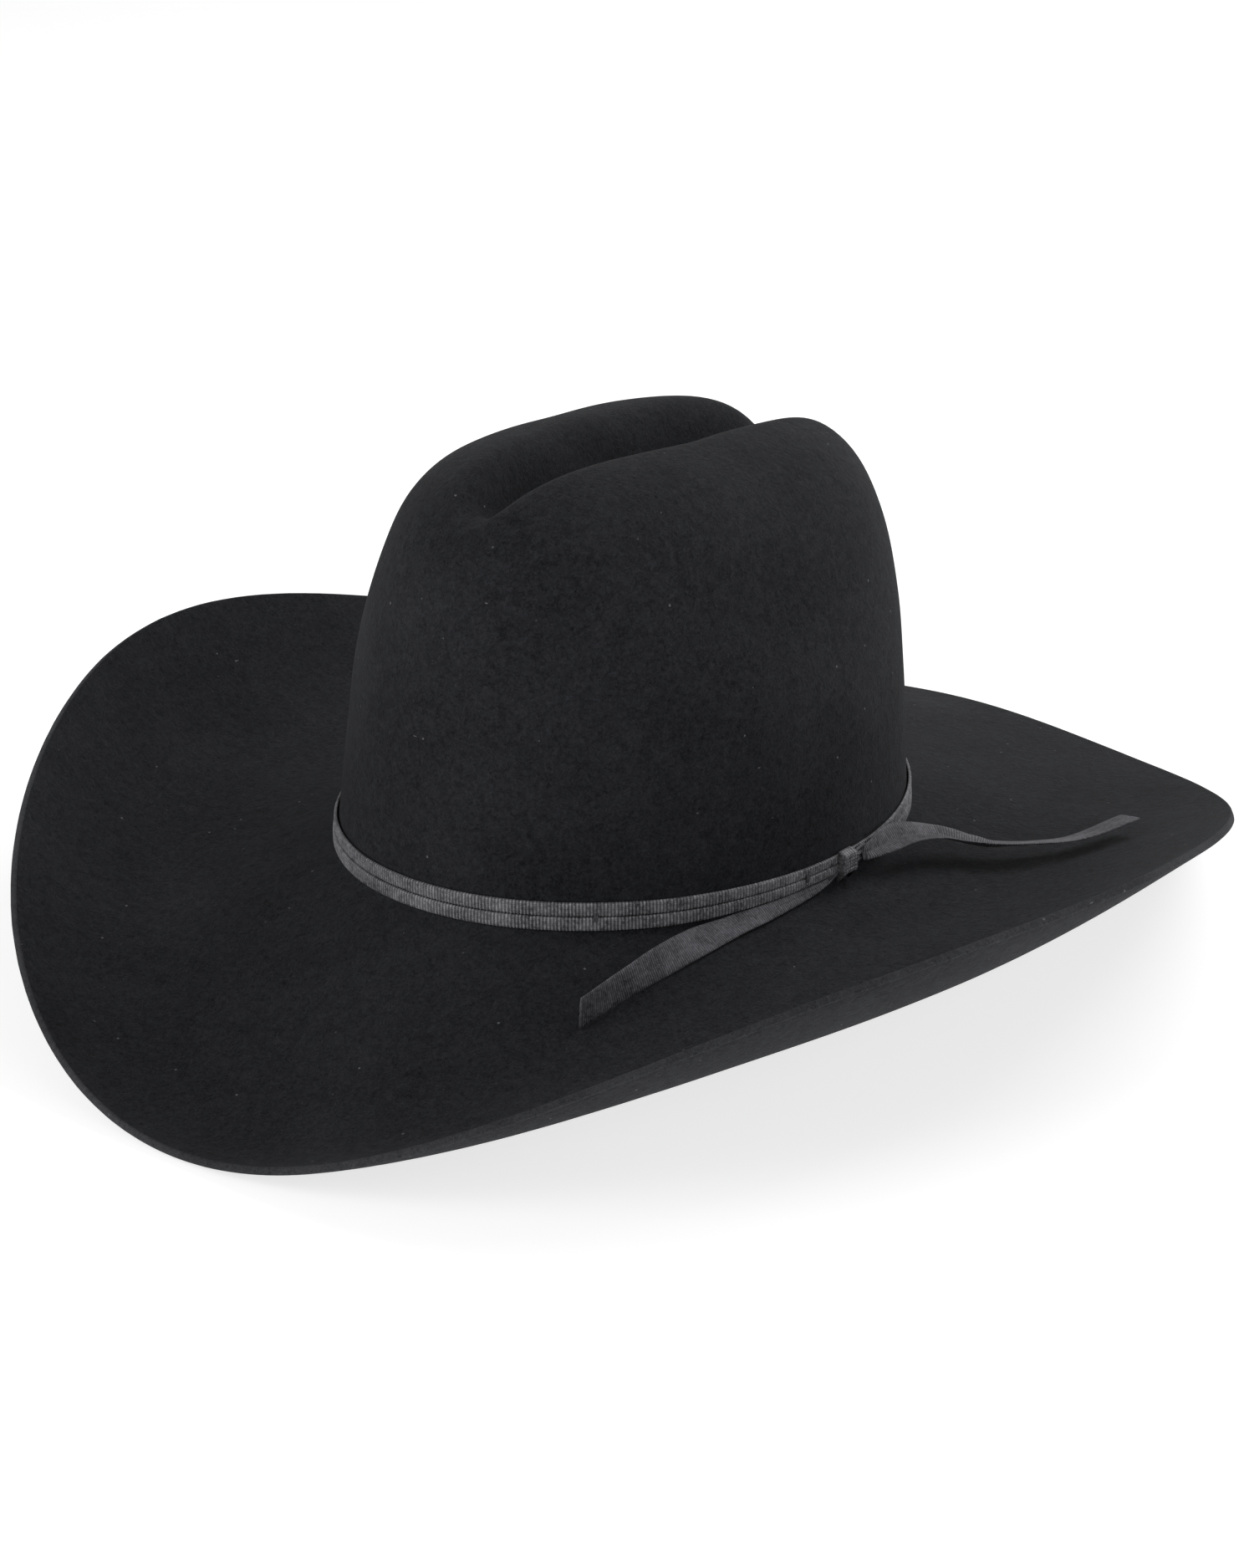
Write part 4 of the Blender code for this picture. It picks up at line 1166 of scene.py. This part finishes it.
def buildRearBow(standOff):
    height = sweatFoot + inside["bandHeight"] / 4
    centre = wallPoint(180, height, standOff - rearBow["loop"] / 2 - rearBow["thickness"])
    inward = -outward(np.array([math.pi]))[0]
    sideways = np.cross(upward, inward)
    turns = np.arange(220) * 2 * math.pi / 220
    waist = rearBow["thickness"] + inside["gap"]
    along = rearBow["span"] / 2 * np.cos(turns)
    away = np.sin(turns) * (waist + (rearBow["loop"] - waist) * np.abs(np.cos(turns)) ** 1.2) / 2
    away = away + np.tanh(np.sin(turns) * 6) * waist / 2 * (1 - np.abs(np.cos(turns)))
    route = centre + along[:, None] * sideways + away[:, None] * inward
    heading = unit(np.roll(route, -1, axis=0) - np.roll(route, 1, axis=0))
    upright = sameWay(upward, len(turns))
    width = 0.55 + 0.45 * np.abs(np.cos(turns))
    section = clothSection(rearBow["ribbon"], rearBow["thickness"], 0.0, 11)
    sections = section[None] * np.stack([width, np.ones(len(turns))], -1)[:, None]
    steps = np.linalg.norm(np.roll(route, -1, axis=0) - route, axis=1)
    run = np.concatenate([[0], np.cumsum(steps)[:-1]])
    loops = sweep(
        "small_bow_loops", route, upright, np.cross(heading, upright), sections,
        tailMaterial, closed=True, along=run,
    )
    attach(loops, "hat")
    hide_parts("rear_bow_ribbon")

    tall = 0.55 * rearBow["ribbon"] / 2 + 0.0006 + rearBow["thickness"]
    deep = waist + rearBow["thickness"] / 2 + 0.0006 + rearBow["thickness"]
    turns = np.arange(72) * 2 * math.pi / 72
    squared = (np.abs(np.cos(turns)) ** 4 + np.abs(np.sin(turns)) ** 4) ** -0.25
    route = centre + (tall * squared * np.cos(turns))[:, None] * upward
    route = route + (deep * squared * np.sin(turns))[:, None] * inward
    across = sameWay(sideways, len(turns))
    heading = unit(np.roll(route, -1, axis=0) - np.roll(route, 1, axis=0))
    pleat = 1 + 0.12 * np.cos(turns * 3)
    section = clothSection(0.6 * rearBow["ribbon"], rearBow["thickness"], 0.3, 11)
    sections = section[None] * np.stack([pleat, np.ones(len(turns))], -1)[:, None]
    facing = np.cross(heading, across)
    knot = sweep("small_bow_knot", route, across, facing, sections, tailMaterial, closed=True)
    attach(knot, "hat")
    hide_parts("rear_bow_knot")


buildRearBow(buildSweatband())
buildLining()
print("inside fitted")

studio = {
    "floor": 0.55,
    "floorGlow": 0.72,
    "backdrop": (9.0, 4.0, 2.6),  # distance of its rim, where it starts to rise, height of its rim
    "world": 0.22,
    "lampAim": 0.04,  # the lamps look at this height over the break
    "softboxes": {  # azimuth in hat coordinates, elevation, distance, size, power
        "key": (-30, 30, 1.7, (1.0, 1.2), 9.5),
        "fill": (85, 22, 1.8, (1.0, 1.0), 4.5),
        "back": (170, 45, 1.7, (1.4, 0.5), 15.0),
    },
}
view = {
    "azimuth": 38.785,  # in hat coordinates, degrees
    "elevation": 21.753,
    "distance": 1.05,
    "aim": (0.00025, 0.00975),  # right and up of the middle of the break
    "lens": 74.2,
}


def buildFloor():
    # flat, then rising all round in one smooth curve
    distances = np.linspace(0.001, 1, 60) * studio["backdrop"][0]
    flatTo, height = studio["backdrop"][1:]
    rise = height * np.clip((distances - flatTo) / (distances[-1] - flatTo), 0, 1) ** 2
    turns = np.linspace(0, 2 * math.pi, 97)[:-1]
    points = []
    for distance, lift in zip(distances, rise):
        points += [(distance * math.cos(turn), distance * math.sin(turn), lift) for turn in turns]
    faces = gridFaces(len(distances), len(turns)) + [tuple(range(len(turns)))]
    faces = [face[::-1] for face in faces[:-1]] + faces[-1:]
    material = bpy.data.materials.new("pale floor")
    material.use_nodes = True
    surface = material.node_tree.nodes["Principled BSDF"]
    surface.inputs["Base Color"].default_value = rgb(studio["floor"], studio["floor"], studio["floor"])
    surface.inputs["Roughness"].default_value = 0.9
    surface.inputs["Specular IOR Level"].default_value = 0.1
    surface.inputs["Emission Color"].default_value = rgb(1, 1, 1)
    surface.inputs["Emission Strength"].default_value = studio["floorGlow"]
    floor = buildMesh("floor", points, faces, material, world=False)


def addSoftbox(name, azimuth, elevation, distance, size, power):
    light = bpy.data.lights.new(name, "AREA")
    light.shape = "RECTANGLE"
    light.size, light.size_y = size
    light.energy = power
    lamp = bpy.data.objects.new(name, light)
    bpy.context.scene.collection.objects.link(lamp)
    turn, lift = math.radians(azimuth), math.radians(elevation)
    away = np.array([math.sin(turn) * math.cos(lift), -math.cos(turn) * math.cos(lift), math.sin(lift)])
    away = Vector(stance @ away)
    lamp.location = Vector(toWorld(np.zeros(3)) + studio["lampAim"] * upward) + distance * away
    lamp.rotation_mode = "QUATERNION"
    lamp.rotation_quaternion = away.to_track_quat("Z", "Y")


def lightStudio():
    world = bpy.data.worlds.new("studio")
    world.use_nodes = True
    world.node_tree.nodes["Background"].inputs["Color"].default_value = rgb(1, 1, 1)
    world.node_tree.nodes["Background"].inputs["Strength"].default_value = studio["world"]
    bpy.context.scene.world = world
    for name, values in studio["softboxes"].items():
        addSoftbox(name, *values)
    bpy.context.scene.view_settings.view_transform = "Standard"


def placeCamera():
    turn, lift = math.radians(view["azimuth"]), math.radians(view["elevation"])
    forward = np.array([-math.sin(turn) * math.cos(lift), math.cos(turn) * math.cos(lift), -math.sin(lift)])
    right = np.array([math.cos(turn), math.sin(turn), 0.0])
    up = np.cross(right, forward)
    aim = view["aim"][0] * right + view["aim"][1] * up
    axes = np.stack([stance @ right, stance @ up, -(stance @ forward)], -1)
    camera = bpy.data.cameras.new("camera")
    camera.lens = view["lens"]
    camera.clip_start = 0.01
    made = bpy.data.objects.new("camera", camera)
    bpy.context.scene.collection.objects.link(made)
    made.matrix_world = Matrix.Translation(toWorld(aim - forward * view["distance"])) @ Matrix(axes).to_4x4()
    bpy.context.scene.camera = made


buildFloor()
lightStudio()
placeCamera()
print("studio ready")
